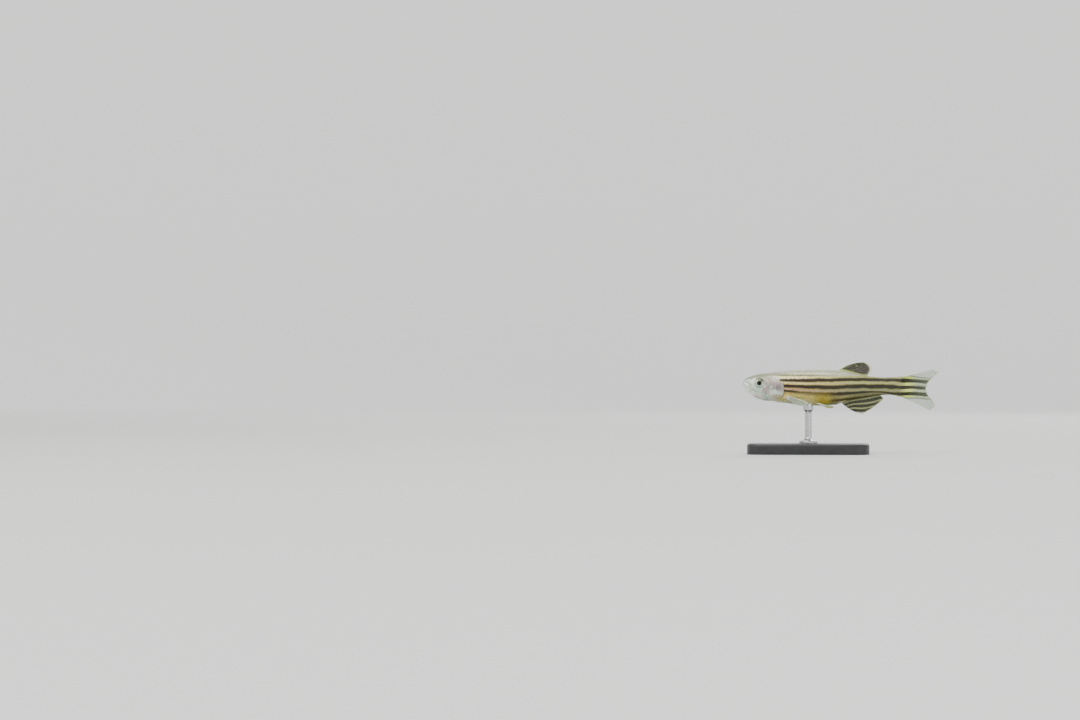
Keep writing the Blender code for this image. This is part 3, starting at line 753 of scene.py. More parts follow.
# Patches of the head: place (d, z), radii where each is full and where it ends, how
# much it is squeezed along and up, strength and colour.
HEAD_PATCHES = (
    ((1.2, 0.2), 0.3, 2.4, (0.9, 0.8), 0.75, "head_white"),
    ((2.4, -1.3), 0.3, 1.9, (0.9, 1.0), 0.75, "head_white"),
    ((1.4, 1.3), 0.1, 1.2, (0.9, 1.2), 0.60, "head_mint"),
    ((1.7, -0.1), 0.1, 1.1, (1.2, 0.7), 0.45, "pale_rear"),
    ((2.1, 1.85), 0.1, 0.8, (0.8, 1.3), 0.60, "head_lilac"),
    ((3.0, -0.8), 0.3, 1.3, (0.8, 1.3), 0.75, "head_mint"),
    ((2.9, -2.15), 0.0, 1.0, (0.7, 1.3), 0.60, "gill_rose"),
    ((4.9, -2.1), 0.2, 1.3, (0.9, 1.2), 0.70, "head_mint"),
    ((4.2, 2.0), 0.3, 1.9, (0.6, 1.4), 0.85, "crown"),
    ((5.3, 1.1), 0.2, 1.3, (0.8, 1.0), 0.55, "crown"),
    ((4.6, -1.0), 0.2, 1.1, (1.0, 0.9), 0.75, "gill_mauve"),
    ((7.2, -0.3), 0.0, 2.3, (0.85, 0.85), 0.95, "gill_mauve"),
    ((6.3, 0.8), 0.2, 1.5, (0.8, 1.0), 0.60, "gill_rose"),
    ((4.95, 0.0), 0.0, 0.62, (1.3, 0.55), 0.80, "gill_pink"),
    ((5.15, -0.8), 0.0, 0.7, (1.0, 0.8), 0.60, "gill_rose"),
    # painted reflection on the gill cover: a grey ring round a white spot
    ((5.9, -0.2), 0.38, 0.85, (1.0, 1.0), 0.70, "reflection_ring"),
    ((5.95, -0.2), 0.0, 0.48, (1.0, 1.0), 0.65, "head_white"),
    ((6.4, -1.15), 0.1, 1.0, (0.8, 1.0), 0.80, "head_white"),
    ((7.5, -1.6), 0.1, 1.0, (0.8, 1.0), 0.60, "head_white"),
    ((6.9, -2.1), 0.1, 1.1, (0.8, 1.3), 0.70, "gill_olive"),
    ((7.8, -2.3), 0.1, 1.1, (0.9, 1.3), 0.80, "gill_olive"),
)

# Patches of the belly, in the same way.
BELLY_PATCHES = (
    ((12.2, -2.7), 0.8, 3.4, (0.6, 1.6), 0.70, "belly_gold"),
    ((16.5, -3.1), 0.4, 3.0, (0.85, 1.1), 0.90, "mustard"),
    ((11.0, -3.7), 0.4, 2.6, (0.5, 1.7), 0.85, "belly_pale"),
    ((19.0, -3.3), 0.4, 1.5, (0.9, 0.8), 0.60, "olive_dark"),
)


def head_colours(finish, tone, rear_only):
    """Silver skin with patches, clouds and fine upright streaks, and the olive crown."""
    places = finish.places()
    colour = tone["head_silver"]
    wander = finish.around(finish.noise(places, 1.7, 2.5, 0.55), 1.2)
    for place, full, end, squeeze, strength, paint in HEAD_PATCHES:
        if rear_only and place[0] < 6:
            continue
        spot = finish.near(place, full, end, squeeze, wander)
        colour = finish.mix(finish.product(spot, strength), colour, tone[paint])
    streaks = finish.noise(finish.places((1, 2.2, 0.5)), 1.6, 4.0, 0.6)
    colour = finish.dim(colour, finish.map(streaks, 0.3, 0.7, 0.86, 1.12))
    cloud = finish.noise(places, 1.4, 4.0, 0.6)
    colour = finish.wash(colour, tone["crown"], cloud, 0.52, 0.72, 0.45)
    fleck = finish.map(finish.noise(finish.places((1, 0.7, 1.2)), 3.2, 3.0, 0.55), 0.54, 0.68)
    rear = finish.near((5.6, 1.0), 0.8, 3.2, (0.9, 0.9), wander)
    colour = finish.mix(finish.product(fleck, rear, 0.55), colour, tone["gill_mauve"])
    sheen = finish.noise(finish.places((1, 1, 0.7)), 0.8, 2.0)
    colour = finish.wash(colour, tone["head_lilac"], sheen, 0.55, 0.75, 0.35)
    colour = finish.wash(colour, tone["head_mint"], sheen, 0.45, 0.25, 0.35)
    up = finish.read("up")
    colour = finish.wash(colour, tone["crown"], up, 0.68, 0.84, 0.85)
    top = finish.math("ADD", up, finish.around(cloud, 0.12))
    return finish.wash(colour, tone["back_dark"], top, 0.86, 0.97, 0.85)


def skin_finish(name, on_scales):
    """Striped, silvery wet skin. The bands follow the stripe coordinate, and dots break them up.

    Creases are darker with painted shade. On the scales the free edges darken, growth
    lines run round and rays run across each plate, and no two plates are quite alike:
    each has its own tone and a painted rose or mint sheen.
    """
    tone = palette()
    finish = Finish(name, Coat_Weight=0.25, Coat_Roughness=0.16, Specular_IOR_Level=0.3)
    places, up = finish.places(), finish.read("up")
    colour = flank_colours(finish, tone)
    under = finish.map(finish.read("along"), 0.62, 0.50)
    under = finish.product(finish.map(up, 0.24, 0.08), under)
    colour = finish.mix(under, colour, tone["belly_pale"])
    for place, full, end, squeeze, strength, paint in BELLY_PATCHES:
        low = finish.map(up, 0.44, 0.32)
        spot = finish.product(finish.near(place, full, end, squeeze), low, strength)
        colour = finish.mix(spot, colour, tone[paint])
    colour = finish.wash(colour, tone["back"], up, 0.84, 0.92, 0.8)
    colour = finish.wash(colour, tone["back_dark"], up, 0.92, 0.985, 0.85)

    fray = finish.around(finish.noise(places, 5.0, 4.0), 1.6)
    behind = finish.math("ADD", finish.read("behind_head"), fray)
    head = head_colours(finish, tone, on_scales)
    colour = finish.mix(finish.map(behind, 0.0, 1.0), head, colour)

    sprinkle = finish.map(finish.noise(places, 1.2, 2.0), 0.40, 0.62)
    upper = finish.map(up, 0.62, 0.86, 0.10, 0.75)
    for scale, size in ((9.0, 0.30), (5.0, 0.20)):
        dots = finish.map(finish.cells(places, scale), size, size * 0.5)
        dots = finish.product(dots, sprinkle, upper)
        colour = finish.mix(dots, colour, tone["dark_front"])

    grain = finish.noise(places, 13.0, 3.0, 0.6)
    colour = finish.dim(colour, finish.map(grain, 0.25, 0.75, 0.84, 1.12))
    relief = finish.bump(grain, 0.012, 0.5)
    if on_scales:
        rear_share, across = finish.read("plate_along"), finish.read("plate_across")
        each = finish.add("TexWhiteNoise", {"W": finish.read("plate")}, noise_dimensions="1D")
        each = each.outputs["Value"]
        colour = finish.dim(colour, finish.map(each, 0.0, 1.0, 0.88, 1.08))
        # painted sheen: each plate takes a fixed rose or mint tint
        tint = finish.mix(each, tone["scale_rose"], tone["scale_mint"])
        colour = finish.mix(0.35, colour, tint, "MULTIPLY")
        rim = finish.map(rear_share, 0.84, 1.0, 1.0, 0.62)
        root = finish.map(rear_share, 0.45, 0.62, 0.70, 1.0)
        colour = finish.dim(colour, finish.product(rim, root))
        rings = finish.math("SINE", finish.product(rear_share, 55.0))
        fan = finish.product(finish.math("SINE", finish.product(across, 21.0)), 0.3)
        relief = finish.bump(finish.math("ADD", rings, fan), 0.0025, 0.3, relief)
    else:
        # painted shade in the creases: slits, folds, nostrils and the gap behind the gill cover
        colour = finish.wash(colour, tone["crease"], finish.read("crease"), 0.1, 1.0, 0.85)
    finish.set("Base Color", colour)
    brightness = finish.add("RGBToBW", {"Color": colour}).outputs[0]
    finish.set("Metallic", finish.map(brightness, 0.05, 0.60, 0.0, 0.35))
    finish.set("Roughness", finish.map(grain, 0.2, 0.8, 0.30, 0.46))
    finish.set("Normal", relief)
    return finish.material


def make_skin(sizes):
    """One closed skin from snout to tail: the body's rings, moved along their normals."""
    share = np.linspace(0, 1, RINGS + 1)[1:, None] ** SNOUT_CROWDING
    turn = np.arange(RING_POINTS) * 2 * np.pi / RING_POINTS
    d, turn = np.broadcast_arrays(share * BODY_LENGTH, turn)
    points = body_point(d, turn, sizes.coat_depth / MM)
    normals = normals_of(np.concatenate((points[:, -1:], points, points[:, :1]), 1))[:, 1:-1]
    if normals[RINGS // 2, RING_POINTS // 4, 0] < 0:
        normals = -normals
    relief, crease = head_folds(d, points[..., 2], turn)
    # the crease values carry painted shade into the skin's finish
    marks = {**body_marks(points, turn), "crease": crease}
    points = points + normals * relief[..., None]
    nodes = ("head", "torso", "tail_peduncle")
    finish = skin_finish("danio_skin", False)
    return add_rings("danio_skin", points, finish, nodes, marks)


def turn_at_share(d, share, steps=121, stations=80):
    """The turn at a share of the way round the body.

    Some sections are measured along their outline, and the turns found there are
    blended between them.
    """
    at = np.linspace(0.5, BODY_LENGTH, stations)
    turns = np.linspace(0, np.pi, steps)
    lengths = np.diff(body_point(at[:, None], turns), axis=1)
    reach = np.cumsum(np.linalg.norm(lengths, axis=-1), axis=1)
    reach = np.pad(reach / reach[:, -1:], ((0, 0), (1, 0)))
    even = np.linspace(0, 1, steps)
    table = np.stack([np.interp(even, row, turns) for row in reach])
    share = share % 1.0
    side = 1 - np.abs(1 - 2 * share)
    row = np.clip((d - at[0]) / (at[1] - at[0]), 0, stations - 1.001)
    column = np.clip(side * (steps - 1), 0, steps - 1.001)
    i, j = row.astype(int), column.astype(int)
    p, q = row - i, column - j
    found = (table[i, j] * (1 - q) + table[i, j + 1] * q) * (1 - p)
    found = found + (table[i + 1, j] * (1 - q) + table[i + 1, j + 1] * q) * p
    return np.where(share > 0.5, 2 * np.pi - found, found)


def scale_places(sizes):
    """Distance, share round the body and spacing of every scale.

    The rows are staggered, and their spacing shrinks evenly towards the tail.
    """
    front, rear = sizes.scale_pitch_front / MM, sizes.scale_pitch_rear / MM
    shrink = (front - rear) / (BODY_LENGTH - SCALES_START)
    reach = front / shrink
    left = (SCALES_START + reach - BODY_LENGTH) / reach
    columns = int(math.log(left) / math.log(1 - shrink))
    column, row = np.meshgrid(np.arange(columns), np.arange(sizes.scale_rows))
    column = column + 0.5 * (row % 2)
    d = SCALES_START + reach - reach * (1 - shrink) ** column
    share = row / sizes.scale_rows
    turn = turn_at_share(d, share)
    degrees = np.degrees(np.pi - np.abs(np.pi - turn))
    shown = (d > curve_through(*FIRST_SCALES, degrees)) & (d < BODY_LENGTH - TAIL_CLEARED)
    pitch = front - shrink * (d - SCALES_START)
    return d[shown], share[shown], pitch[shown]


def make_scales(sizes):
    """Thin overlapping plates on the skin, one pillow each.

    A plate's grid runs from its root, sunk in the skin, to a round free edge that
    stands proud of it, most on the flanks, and follows the body all the way.
    """
    d_root, share_root, pitch = scale_places(sizes)
    along = np.linspace(0, 1, PLATE_SIDE)[:, None]
    across = np.linspace(-1, 1, PLATE_SIDE)[None, :]
    round_off = 1 - 0.40 * (1 - np.sqrt(1 - (0.97 * across) ** 2)) - 0.06 * across**2
    reach = -0.80 + 1.62 * along * round_off
    width = 0.62 - 0.10 * (1 - along) ** 2
    d = d_root[:, None, None] + pitch[:, None, None] * reach
    share = share_root[:, None, None] + across * width / sizes.scale_rows
    d = np.clip(d, 0.6, BODY_LENGTH - 0.02)
    turn = turn_at_share(d, share)
    lift = sizes.scale_lift / MM * (0.4 + 0.6 * np.abs(np.sin(turn)))
    height = -SCALE_SINK + (lift + SCALE_SINK) * along**0.9
    depth = sizes.coat_depth / MM - height
    thick = np.full((PLATE_SIDE - 2, PLATE_SIDE - 2), sizes.scale_thickness / MM)
    top = body_point(d, turn, depth)
    bottom = body_point(d, turn, depth + np.pad(thick, 1))
    plate = np.arange(len(d_root))[:, None, None] + 0.5
    marks = {**body_marks(top, turn), "plate_along": along, "plate_across": across, "plate": plate}
    for name in ("plate_along", "plate_across", "plate"):
        marks[name] = np.broadcast_to(marks[name], d.shape)
    marks = {name: on_pillows(values) for name, values in marks.items()}
    piece = add_piece(
        "danio_scales",
        on_pillows(top, bottom),
        pillow_faces(PLATE_SIDE, PLATE_SIDE, len(d_root)),
        skin_finish("danio_scales", True),
        values=marks,
        crease=50,
    )
    add_bake_map(piece, d_root, share_root, marks)
    return piece


def add_bake_map(piece, d_root, share_root, marks, patch=0.003):
    """A map where each plate is a small patch at its root's place on an unwrap of the body."""
    middle = np.stack((d_root / BODY_LENGTH, share_root % 1.0), -1) * 0.98 + 0.01
    local = np.stack((marks["plate_along"] - 0.5, marks["plate_across"] / 2), -1)
    at = (middle[:, None] + patch * local).reshape(-1, 2)
    corners = np.empty(len(piece.data.loops), dtype=np.int32)
    piece.data.loops.foreach_get("vertex_index", corners)
    layer = piece.data.uv_layers.new(name="OFBake")
    layer.data.foreach_set("uv", at[corners].astype(np.float32).ravel())


def tube_rings(path, radii, sides=16):
    """Circles of each radius round a path, square to its slope."""
    slope = np.gradient(path, axis=0)
    slope /= np.linalg.norm(slope, axis=-1, keepdims=True)
    first = np.cross(slope, (1.0, 0, 0))
    first /= np.linalg.norm(first, axis=-1, keepdims=True)
    second = np.cross(slope, first)
    turn = np.arange(sides)[None, :, None] * 2 * np.pi / sides
    ring = np.cos(turn) * first[:, None] + np.sin(turn) * second[:, None]
    return path[:, None] + radii[:, None, None] * ring


def make_barbels():
    """Two pairs of feelers: tubes that flare at the root and thin along a bent line."""
    tone = palette()
    finish = Finish("danio_barbel", Coat_Weight=0.5, Coat_Roughness=0.15)
    freckles = finish.map(finish.noise(finish.places(), 5.0), 0.4, 0.62, 0.0, 0.6)
    colour = finish.mix(freckles, tone["barbel"], tone["crown"])
    colour = finish.wash(colour, tone["head_silver"], finish.read("along"), 0.30, 0.05)
    finish.set("Base Color", colour)
    finish.set("Roughness", finish.map(freckles, 0.0, 0.6, 0.32, 0.48))
    share = np.linspace(0, 1, 40)
    tip = np.sqrt(1 - np.clip((share - 0.96) / 0.04, 0, 0.98) ** 2)
    flare = 1 + 0.7 * np.exp(-share / 0.05)
    for label, line, (radius, lift) in (
        ("upper", UPPER_BARBEL, UPPER_BARBEL_SIZE),
        ("lower", LOWER_BARBEL, LOWER_BARBEL_SIZE),
    ):
        d, z = bent_line(line, len(share)).T
        x = side_of_body(d, z) - BARBEL_SINK * (1 - share) ** 8 + lift * share
        radii = (radius + (BARBEL_TIP - radius) * share**0.8) * flare * tip
        for side, where in ((1, "left"), (-1, "right")):
            rings = tube_rings(np.stack((side * x, d, z), -1), radii)
            add_rings(
                f"danio_barbel_{label}_{where}",
                rings,
                finish.material,
                values={"along": share[:, None] + 0 * rings[..., 0]},
            )


def eye_finish():
    """Silver iris with fine strands, a dark arc above and mint below, round a black pupil."""
    tone = palette()
    finish = Finish("danio_iris", Specular_IOR_Level=0.1)
    out, high, back = (finish.read(name) for name in ("out", "high", "back"))
    fibre = finish.noise(finish.places(), 8.0, 4.0, 0.6)
    colour = finish.wash(tone["iris_silver"], tone["head_white"], fibre, 0.35, 0.65, 0.5)
    low = finish.math("ADD", high, back)
    colour = finish.wash(colour, tone["iris_mint"], low, 0.25, -0.55, 0.9)
    arc = finish.math("ADD", high, finish.product(back, 0.35))
    colour = finish.wash(colour, tone["iris_shadow"], arc, 0.2, 0.62, 0.85)
    fleck = finish.product(
        finish.map(high, 0.0, 0.2), finish.map(high, 0.6, 0.4), finish.map(back, -0.45, -0.7)
    )
    colour = finish.mix(fleck, colour, tone["pale_front"])
    colour = finish.wash(colour, tone["pale_rear"], out, 0.55, 0.49, 0.7)
    colour = finish.wash(colour, tone["iris_shadow"], out, 0.86, 0.97, 0.55)
    pupil = finish.map(out, 0.465, 0.445)
    finish.set("Base Color", finish.mix(pupil, colour, tone["pupil"]))
    finish.set("Metallic", finish.map(pupil, 0.0, 1.0, 0.5, 0.0))
    finish.set("Roughness", finish.map(pupil, 0.0, 1.0, 0.30, 0.5))
    finish.set("Normal", finish.bump(fibre, 0.01, 0.5))
    return finish.material


def cornea_finish():
    """Clear and colourless: light goes through, apart from what its gloss mirrors."""
    finish = Finish("danio_cornea")
    gloss = finish.add("BsdfGlossy", {"Roughness": 0.03})
    slant = finish.add("LayerWeight", {"Blend": 0.5}).outputs["Facing"]
    share = finish.map(finish.math("POWER", slant, 3.0), 0.0, 1.0, 0.010, 0.38)
    clear = finish.add("BsdfTransparent", {})
    joined = finish.add("MixShader", {0: share, 1: clear.outputs[0], 2: gloss.outputs[0]})
    finish.feed(finish.tree.nodes["Material Output"].inputs["Surface"], joined.outputs[0])
    finish.tree.nodes.remove(finish.shader)
    return finish.material


def lathe_on_eye(radii, offsets, side, sides=96):
    """Turns a profile of radii and offsets about the axis out of the side of the head."""
    middle = float(side_of_body(*EYE_PLACE)) + EYE_BULGE - EYE_HALF_DEPTH
    up, back, out = np.moveaxis(turned(radii, offsets, sides), -1, 0)
    return np.stack((side * (middle + out), EYE_PLACE[0] + back, EYE_PLACE[1] + up), -1)


def make_eyes(sizes):
    """Each eye: a globe with a domed iris, its lens bulging through the pupil, and a cornea.

    The globe's profile goes from the middle of the pupil over the lens, up to the
    iris, out along a flattened ball to its rim and back round the ball. The cornea
    is a thin clear dome.
    """
    iris, clear = eye_finish(), cornea_finish()
    pupil = sizes.pupil_radius / MM
    lens = np.linspace(0.02, 1, 14)
    ring = np.linspace(pupil, IRIS_EDGE, 26)[1:]
    margin = 0.05 * hill(ring, pupil, 0.04)
    ball = np.linspace(np.arcsin(IRIS_EDGE / EYE_RADIUS), np.pi - 0.03, 26)[1:]
    radii = np.concatenate((lens * pupil, ring, EYE_RADIUS * np.sin(ball)))
    offsets = (
        PUPIL_HEIGHT + LENS_BULGE * np.sqrt(1 - (0.999 * lens) ** 2),
        IRIS_HEIGHT * np.sqrt(1 - (ring / EYE_RADIUS) ** 2) - margin,
        (EYE_HALF_DEPTH - 0.02) * np.cos(ball),
    )
    dome = np.linspace(0.03, 1, 20)
    bulge = np.sqrt(1 - (0.985 * dome) ** 2)
    dome_radii = np.concatenate((dome * IRIS_EDGE, (dome * (IRIS_EDGE - 0.02))[::-1]))
    outer = CORNEA_FOOT + CORNEA_HEIGHT * bulge
    inner = CORNEA_FOOT - 0.01 + (CORNEA_HEIGHT - 0.04) * bulge
    for side, where in ((1, "left"), (-1, "right")):
        globe = lathe_on_eye(radii, np.concatenate(offsets), side)
        back, up = ((globe[..., n] - globe[..., n].mean()) / EYE_RADIUS for n in (1, 2))
        values = {"out": np.hypot(back, up), "high": up, "back": back}
        node = "eye_" + where
        add_rings("danio_" + node, globe, iris, (node,), values)
        shell = lathe_on_eye(dome_radii, np.concatenate((outer, inner[::-1])), side)
        add_rings("danio_cornea_" + where, shell, clear)


def along_outline(column, distances, sink):
    """Places on the back's or the belly's outline, sunk towards the axis."""
    heights = body_outline(np.array(distances))[column]
    return [(0, d, z - sink * np.sign(z)) for d, z in zip(distances, heights)]


def in_plane(*numbers):
    """Places in the fish's middle plane, from distances and heights in turn."""
    return [(0, d, z) for d, z in zip(numbers[::2], numbers[1::2])]


def fin_shapes():
    """The fins as fans of rays from a root to a margin, with a bow of the rays' middles.

    Each list holds (x, d, z) places, read evenly from the first ray to the last.
    """
    return {
        "dorsal": {
            "rays": 9,
            "root": along_outline(0, (18.9, 20.9, 22.9, 24.8), 0.55),
            "margin": in_plane(24.8, 4.97, 25.9, 4.60, 26.5, 3.85, 26.4, 3.05, 26.0, 2.55),
            "bow": in_plane(-0.1, 0.62, 0, 0.2, 0, 0),
        },
        "anal": {
            "rays": 13,
            "root": along_outline(1, (19.9, 22.6, 25.3, 28.0), 0.60),
            "margin": in_plane(24.5, -5.72, 25.6, -5.15, 26.7, -4.45, 27.8, -3.60, 28.9, -2.60),
            "bow": in_plane(-0.1, -0.45, 0, -0.2, 0, -0.1),
        },
        "caudal": {
            "rays": 18,
            "root": in_plane(32.0, 1.85, 32.05, 0.9, 32.05, -1.0, 32.0, -2.1),
            "margin": in_plane(
                38.90, 3.50, 39.95, 2.85, 38.95, 1.75, 38.05, 0.75, 37.65, -0.50,
                37.95, -1.70, 38.75, -2.80, 39.45, -4.05, 38.30, -5.00,
            ),
            "bow": in_plane(0, -0.12, 0, 0, 0, 0.16),
        },
        "pectoral": {
            "rays": 9,
            "root": ((1.55, 8.75, -1.85), (1.5, 8.95, -2.25), (1.3, 9.1, -2.65)),
            "margin": (
                (3.10, 13.6, -3.40), (3.00, 13.2, -3.90),
                (2.75, 12.2, -4.05), (2.35, 10.9, -3.80),
            ),
            "bow": ((0.25, 0, 0.12), (0.22, 0, 0), (0.15, 0, -0.05)),
        },
        "pelvic": {
            "rays": 6,
            "root": ((1.0, 14.8, -3.35), (0.75, 15.3, -3.4), (0.5, 15.8, -3.45)),
            "margin": (
                (2.00, 18.2, -4.10), (1.50, 18.8, -4.30),
                (1.00, 18.5, -4.50), (0.65, 17.4, -4.55),
            ),
            "bow": ((0.15, 0, -0.1), (0.05, 0, -0.12), (0, 0, -0.1)),
        },
    }


def ray_ridge(place, along, forks):
    """Height of the rays from 0 to 1 across a fin, forking twice towards the margin.

    The place counts rays. Each ray is the highest of four hills across it, which
    drift away from each other behind the forks and grow thinner.
    """
    local = place - np.floor(place) - 0.5
    first = 0.25 * rise(along, forks[0], 1.2)
    second = 0.125 * rise(along, forks[1], 1.15)
    width = 0.17 - 0.09 * rise(along, forks[0], 0.9)
    hills = [
        hill(local, one * first + two * second, width)
        for one in (-1, 1)
        for two in (-1, 1)
    ]
    return np.max(hills, axis=0)


def fin_grid(shape, side):
    """A fin's middle sheet as a grid: straight rays from root to margin, moved by the bow."""
    across = np.linspace(0, 1, shape["rays"] * COLUMNS_PER_RAY + 1)
    along = np.linspace(0, 1, FIN_ROWS)[:, None]
    root, margin, bow = (
        curve_through(np.linspace(0, 1, len(shape[key])), shape[key], across)
        for key in ("root", "margin", "bow")
    )
    between_rays = 0.5 - 0.5 * np.cos(2 * np.pi * (across * shape["rays"] - 0.5))
    v = (along * (1 - SCALLOP * between_rays))[..., None]
    points = root * (1 - v) + margin * v + bow * 4 * v * (1 - v)
    points[..., 0] *= side
    return points, *np.broadcast_arrays(across, along)


def fin_band(kind, d, z):
    """A number that rises by one from each line of a banded fin to the next one down."""
    stations, lines = FIN_LINES[kind]
    heights = curve_through(stations, np.array(lines).T, d)
    return between_edges(-z, -heights)


def make_fin(node, kind, side, sizes, finish):
    """A fin as a pillow: its sheet moved both ways by half its thickness.

    The fin is thick on the rays, thin between them, and thickest at its root.
    """
    shape = fin_shapes()[kind]
    points, across, along = fin_grid(shape, side)
    ridge = ray_ridge(across * shape["rays"], along, RAY_FORKS)
    ray_length = np.linalg.norm(points[-1] - points[0], axis=-1)[None, :]
    joints = 0.5 + 0.5 * np.cos(2 * np.pi * along * ray_length / RAY_JOINT)
    web, ray = sizes.web_thickness / MM, sizes.ray_thickness / MM
    root = rise(along, 0.30, 0.06) if kind == "pectoral" else rise(along, 0.16, 0.0)
    half = web / 2 * (1 - 0.5 * along)
    half = half + ray / 2 * ridge * (1 - 0.72 * along) * (1 - 0.10 * joints)
    half = half * (1 - root) + (web + ray) / 2.2 * root
    rim = np.sqrt(1 - np.clip((along - 0.985) / 0.015, 0, 1) ** 2)
    edge = np.minimum(across, 1 - across) * shape["rays"] * 3
    half = half * rim * np.sqrt(np.clip(edge, 0, 1))
    step = normals_of(points) * half[..., None]
    values = {
        "ridge": ridge,
        "along": along,
        "across": across,
        "to_margin": (1 - along) * ray_length,
        "to_lead": np.linalg.norm(points - points[:, :1], axis=-1),
        "from_base": np.linalg.norm(points - points[:1], axis=-1),
    }
    if kind in FIN_LINES:
        values["band"] = fin_band(kind, points[..., 1], points[..., 2])
    return add_piece(
        "danio_" + node,
        on_pillows((points + step)[None], (points - step)[None]),
        pillow_faces(*across.shape),
        finish,
        (node,),
        {label: on_pillows(grid[None]) for label, grid in values.items()},
        crease=100,
    )


def fin_base_finish(name):
    finish = Finish(name, Coat_Weight=0.2, Coat_Roughness=0.15, Specular_IOR_Level=0.3)
    ridge = finish.read("ridge")
    grain = finish.noise(finish.places(), 6.0, 4.0, 0.6)
    return finish, ridge, grain


def finish_fin(finish, colour, alpha, grain):
    """Last steps of each fin's finish: fleck its colour, set its alpha and its fine relief."""
    fleck = finish.map(grain, 0.3, 0.7, 0.80, 1.12)
    finish.set("Base Color", finish.dim(colour, fleck))
    finish.set("Alpha", alpha)
    finish.set("Roughness", finish.map(grain, 0.3, 0.7, 0.30, 0.45))
    finish.set("Normal", finish.bump(grain, 0.006, 0.5))
    return finish.material


def dorsal_finish():
    """Dark olive web with a purplish middle and pale flecks, a pale edge and a yellow base."""
    tone = palette()
    finish, ridge, grain = fin_base_finish("danio_dorsal_fin")
    from_base, across = finish.read("from_base"), finish.read("across")
    middle = finish.map(from_base, 1.0, 1.8)
    middle = finish.product(middle, finish.map(across, 0.25, 0.5), 0.7)
    colour = finish.mix(middle, tone["fin_olive"], tone["fin_dusk"])
    flecks = finish.noise(finish.places((1, 0.5, 1.3)), 1.7, 5.0, 0.6)
    colour = finish.wash(colour, tone["fin_pale"], flecks, 0.48, 0.74, 0.45)
    colour = finish.wash(colour, tone["fin_pale"], ridge, 0.45, 0.95, 0.18)
    colour = finish.wash(colour, tone["fin_web"], across, 0.72, 0.95, 0.30)
    colour = finish.wash(colour, tone["fin_yellow"], from_base, 1.35, 0.75)
    nearest = finish.math("MINIMUM", finish.read("to_margin"), finish.read("to_lead"))
    edge = finish.map(finish.math("ADD", nearest, finish.around(grain, 0.25)), 0.60, 0.34)
    colour = finish.mix(edge, colour, tone["fin_ray"])
    solid = finish.math("MAXIMUM", edge, finish.map(ridge, 0.3, 0.9, 0.90, 0.97))
    return finish_fin(finish, colour, solid, grain)


def anal_finish():
    """Dark olive with three pale lines along the base, and a ragged pale margin in front."""
    tone = palette()
    finish, ridge, grain = fin_base_finish("danio_anal_fin")
    band = finish.math("ADD", finish.read("band"), finish.around(grain, 0.9))
    pale, dark = tone["fin_pale"], tone["fin_olive"]
    stops = [(0.25, dark)]
    for line in (1, 3, 5):
        stops += [(line - 0.46, dark), (line - 0.10, pale)]
        stops += [(line + 0.10, pale), (line + 0.46, dark)]
    stops += [(6.6, dark), (7.0, tone["fin_ray"])]
    colour = finish.ramp(band, 0.0, 7.2, stops)
    colour = finish.wash(colour, tone["fin_ray"], ridge, 0.45, 0.95, 0.06)
    ragged = finish.math("ADD", finish.read("to_margin"), finish.around(grain, 0.3))
    colour = finish.wash(colour, pale, ragged, 0.34, 0.12, 0.7)
    solid = finish.map(ridge, 0.3, 0.9, 0.90, 0.98)
    return finish_fin(finish, colour, solid, grain)


def caudal_finish():
    """Pale stripes with yellow roots, dark stripes between them, and clear, pale-edged lobes."""
    tone = palette()
    finish, ridge, grain = fin_base_finish("danio_caudal_fin")
    from_base = finish.read("from_base")
    band = finish.math("ADD", finish.read("band"), finish.around(grain, 0.5))
    pale = finish.wash(tone["pale_rear"], tone["fin_yellow"], from_base, 0.5, 1.7)
    pale = finish.wash(pale, tone["fin_stripe"], from_base, 2.0, 3.8)
    dark = finish.wash(tone["dark_rear"], tone["fin_olive"], from_base, 0.2, 1.2)
    dark = finish.wash(dark, tone["fin_grey"], from_base, 2.0, 5.8)
    colour = finish.wash(dark, pale, finish.math("PINGPONG", band, 1.0), 0.44, 0.74)
    lobe = finish.math("MAXIMUM", finish.map(band, 0.5, 0.05), finish.map(band, 7.5, 7.95))
    colour = finish.mix(lobe, colour, tone["fin_web"])
    rays = finish.map(ridge, 0.45, 0.95, 0.0, 0.25)
    rays = finish.product(rays, finish.map(from_base, 0.8, 3.0, 0.1, 1.0))
    colour = finish.mix(rays, colour, tone["fin_ray"])
    across = finish.read("across")
    lead = finish.math("MINIMUM", across, finish.math("SUBTRACT", 1.0, across))
    margin = finish.map(finish.read("to_margin"), 0.25, 0.08)
    edge = finish.math("MAXIMUM", finish.map(lead, 0.05, 0.02), margin)
    edge = finish.product(edge, 0.8)
    colour = finish.mix(edge, colour, tone["fin_ray"])
    fade = finish.map(from_base, 3.2, 6.0, 0.97, 0.90)
    solid = finish.map(lobe, 0.0, 1.0, fade, 0.36)
    for part in (finish.map(ridge, 0.3, 0.9, 0.0, 0.80), edge, finish.map(from_base, 1.6, 0.6)):
        solid = finish.math("MAXIMUM", solid, part)
    return finish_fin(finish, colour, solid, grain)


def paired_finish(name, web, base):
    """A clear web over pale rays, tinted at the base."""
    tone = palette()
    finish, ridge, grain = fin_base_finish(name)
    colour = finish.wash(tone[web], tone["fin_ray"], ridge, 0.3, 0.9, 0.7)
    tint = finish.map(finish.read("along"), 0.5, 0.1, 0.0, 0.8)
    colour = finish.mix(tint, colour, tone[base])
    edge = finish.map(finish.read("to_lead"), 0.26, 0.10)
    colour = finish.mix(edge, colour, tone["fin_ray"])
    solid = finish.math("MAXIMUM", edge, finish.map(ridge, 0.3, 0.9, 0.45, 0.88))
    return finish_fin(finish, colour, finish.math("MAXIMUM", solid, tint), grain)


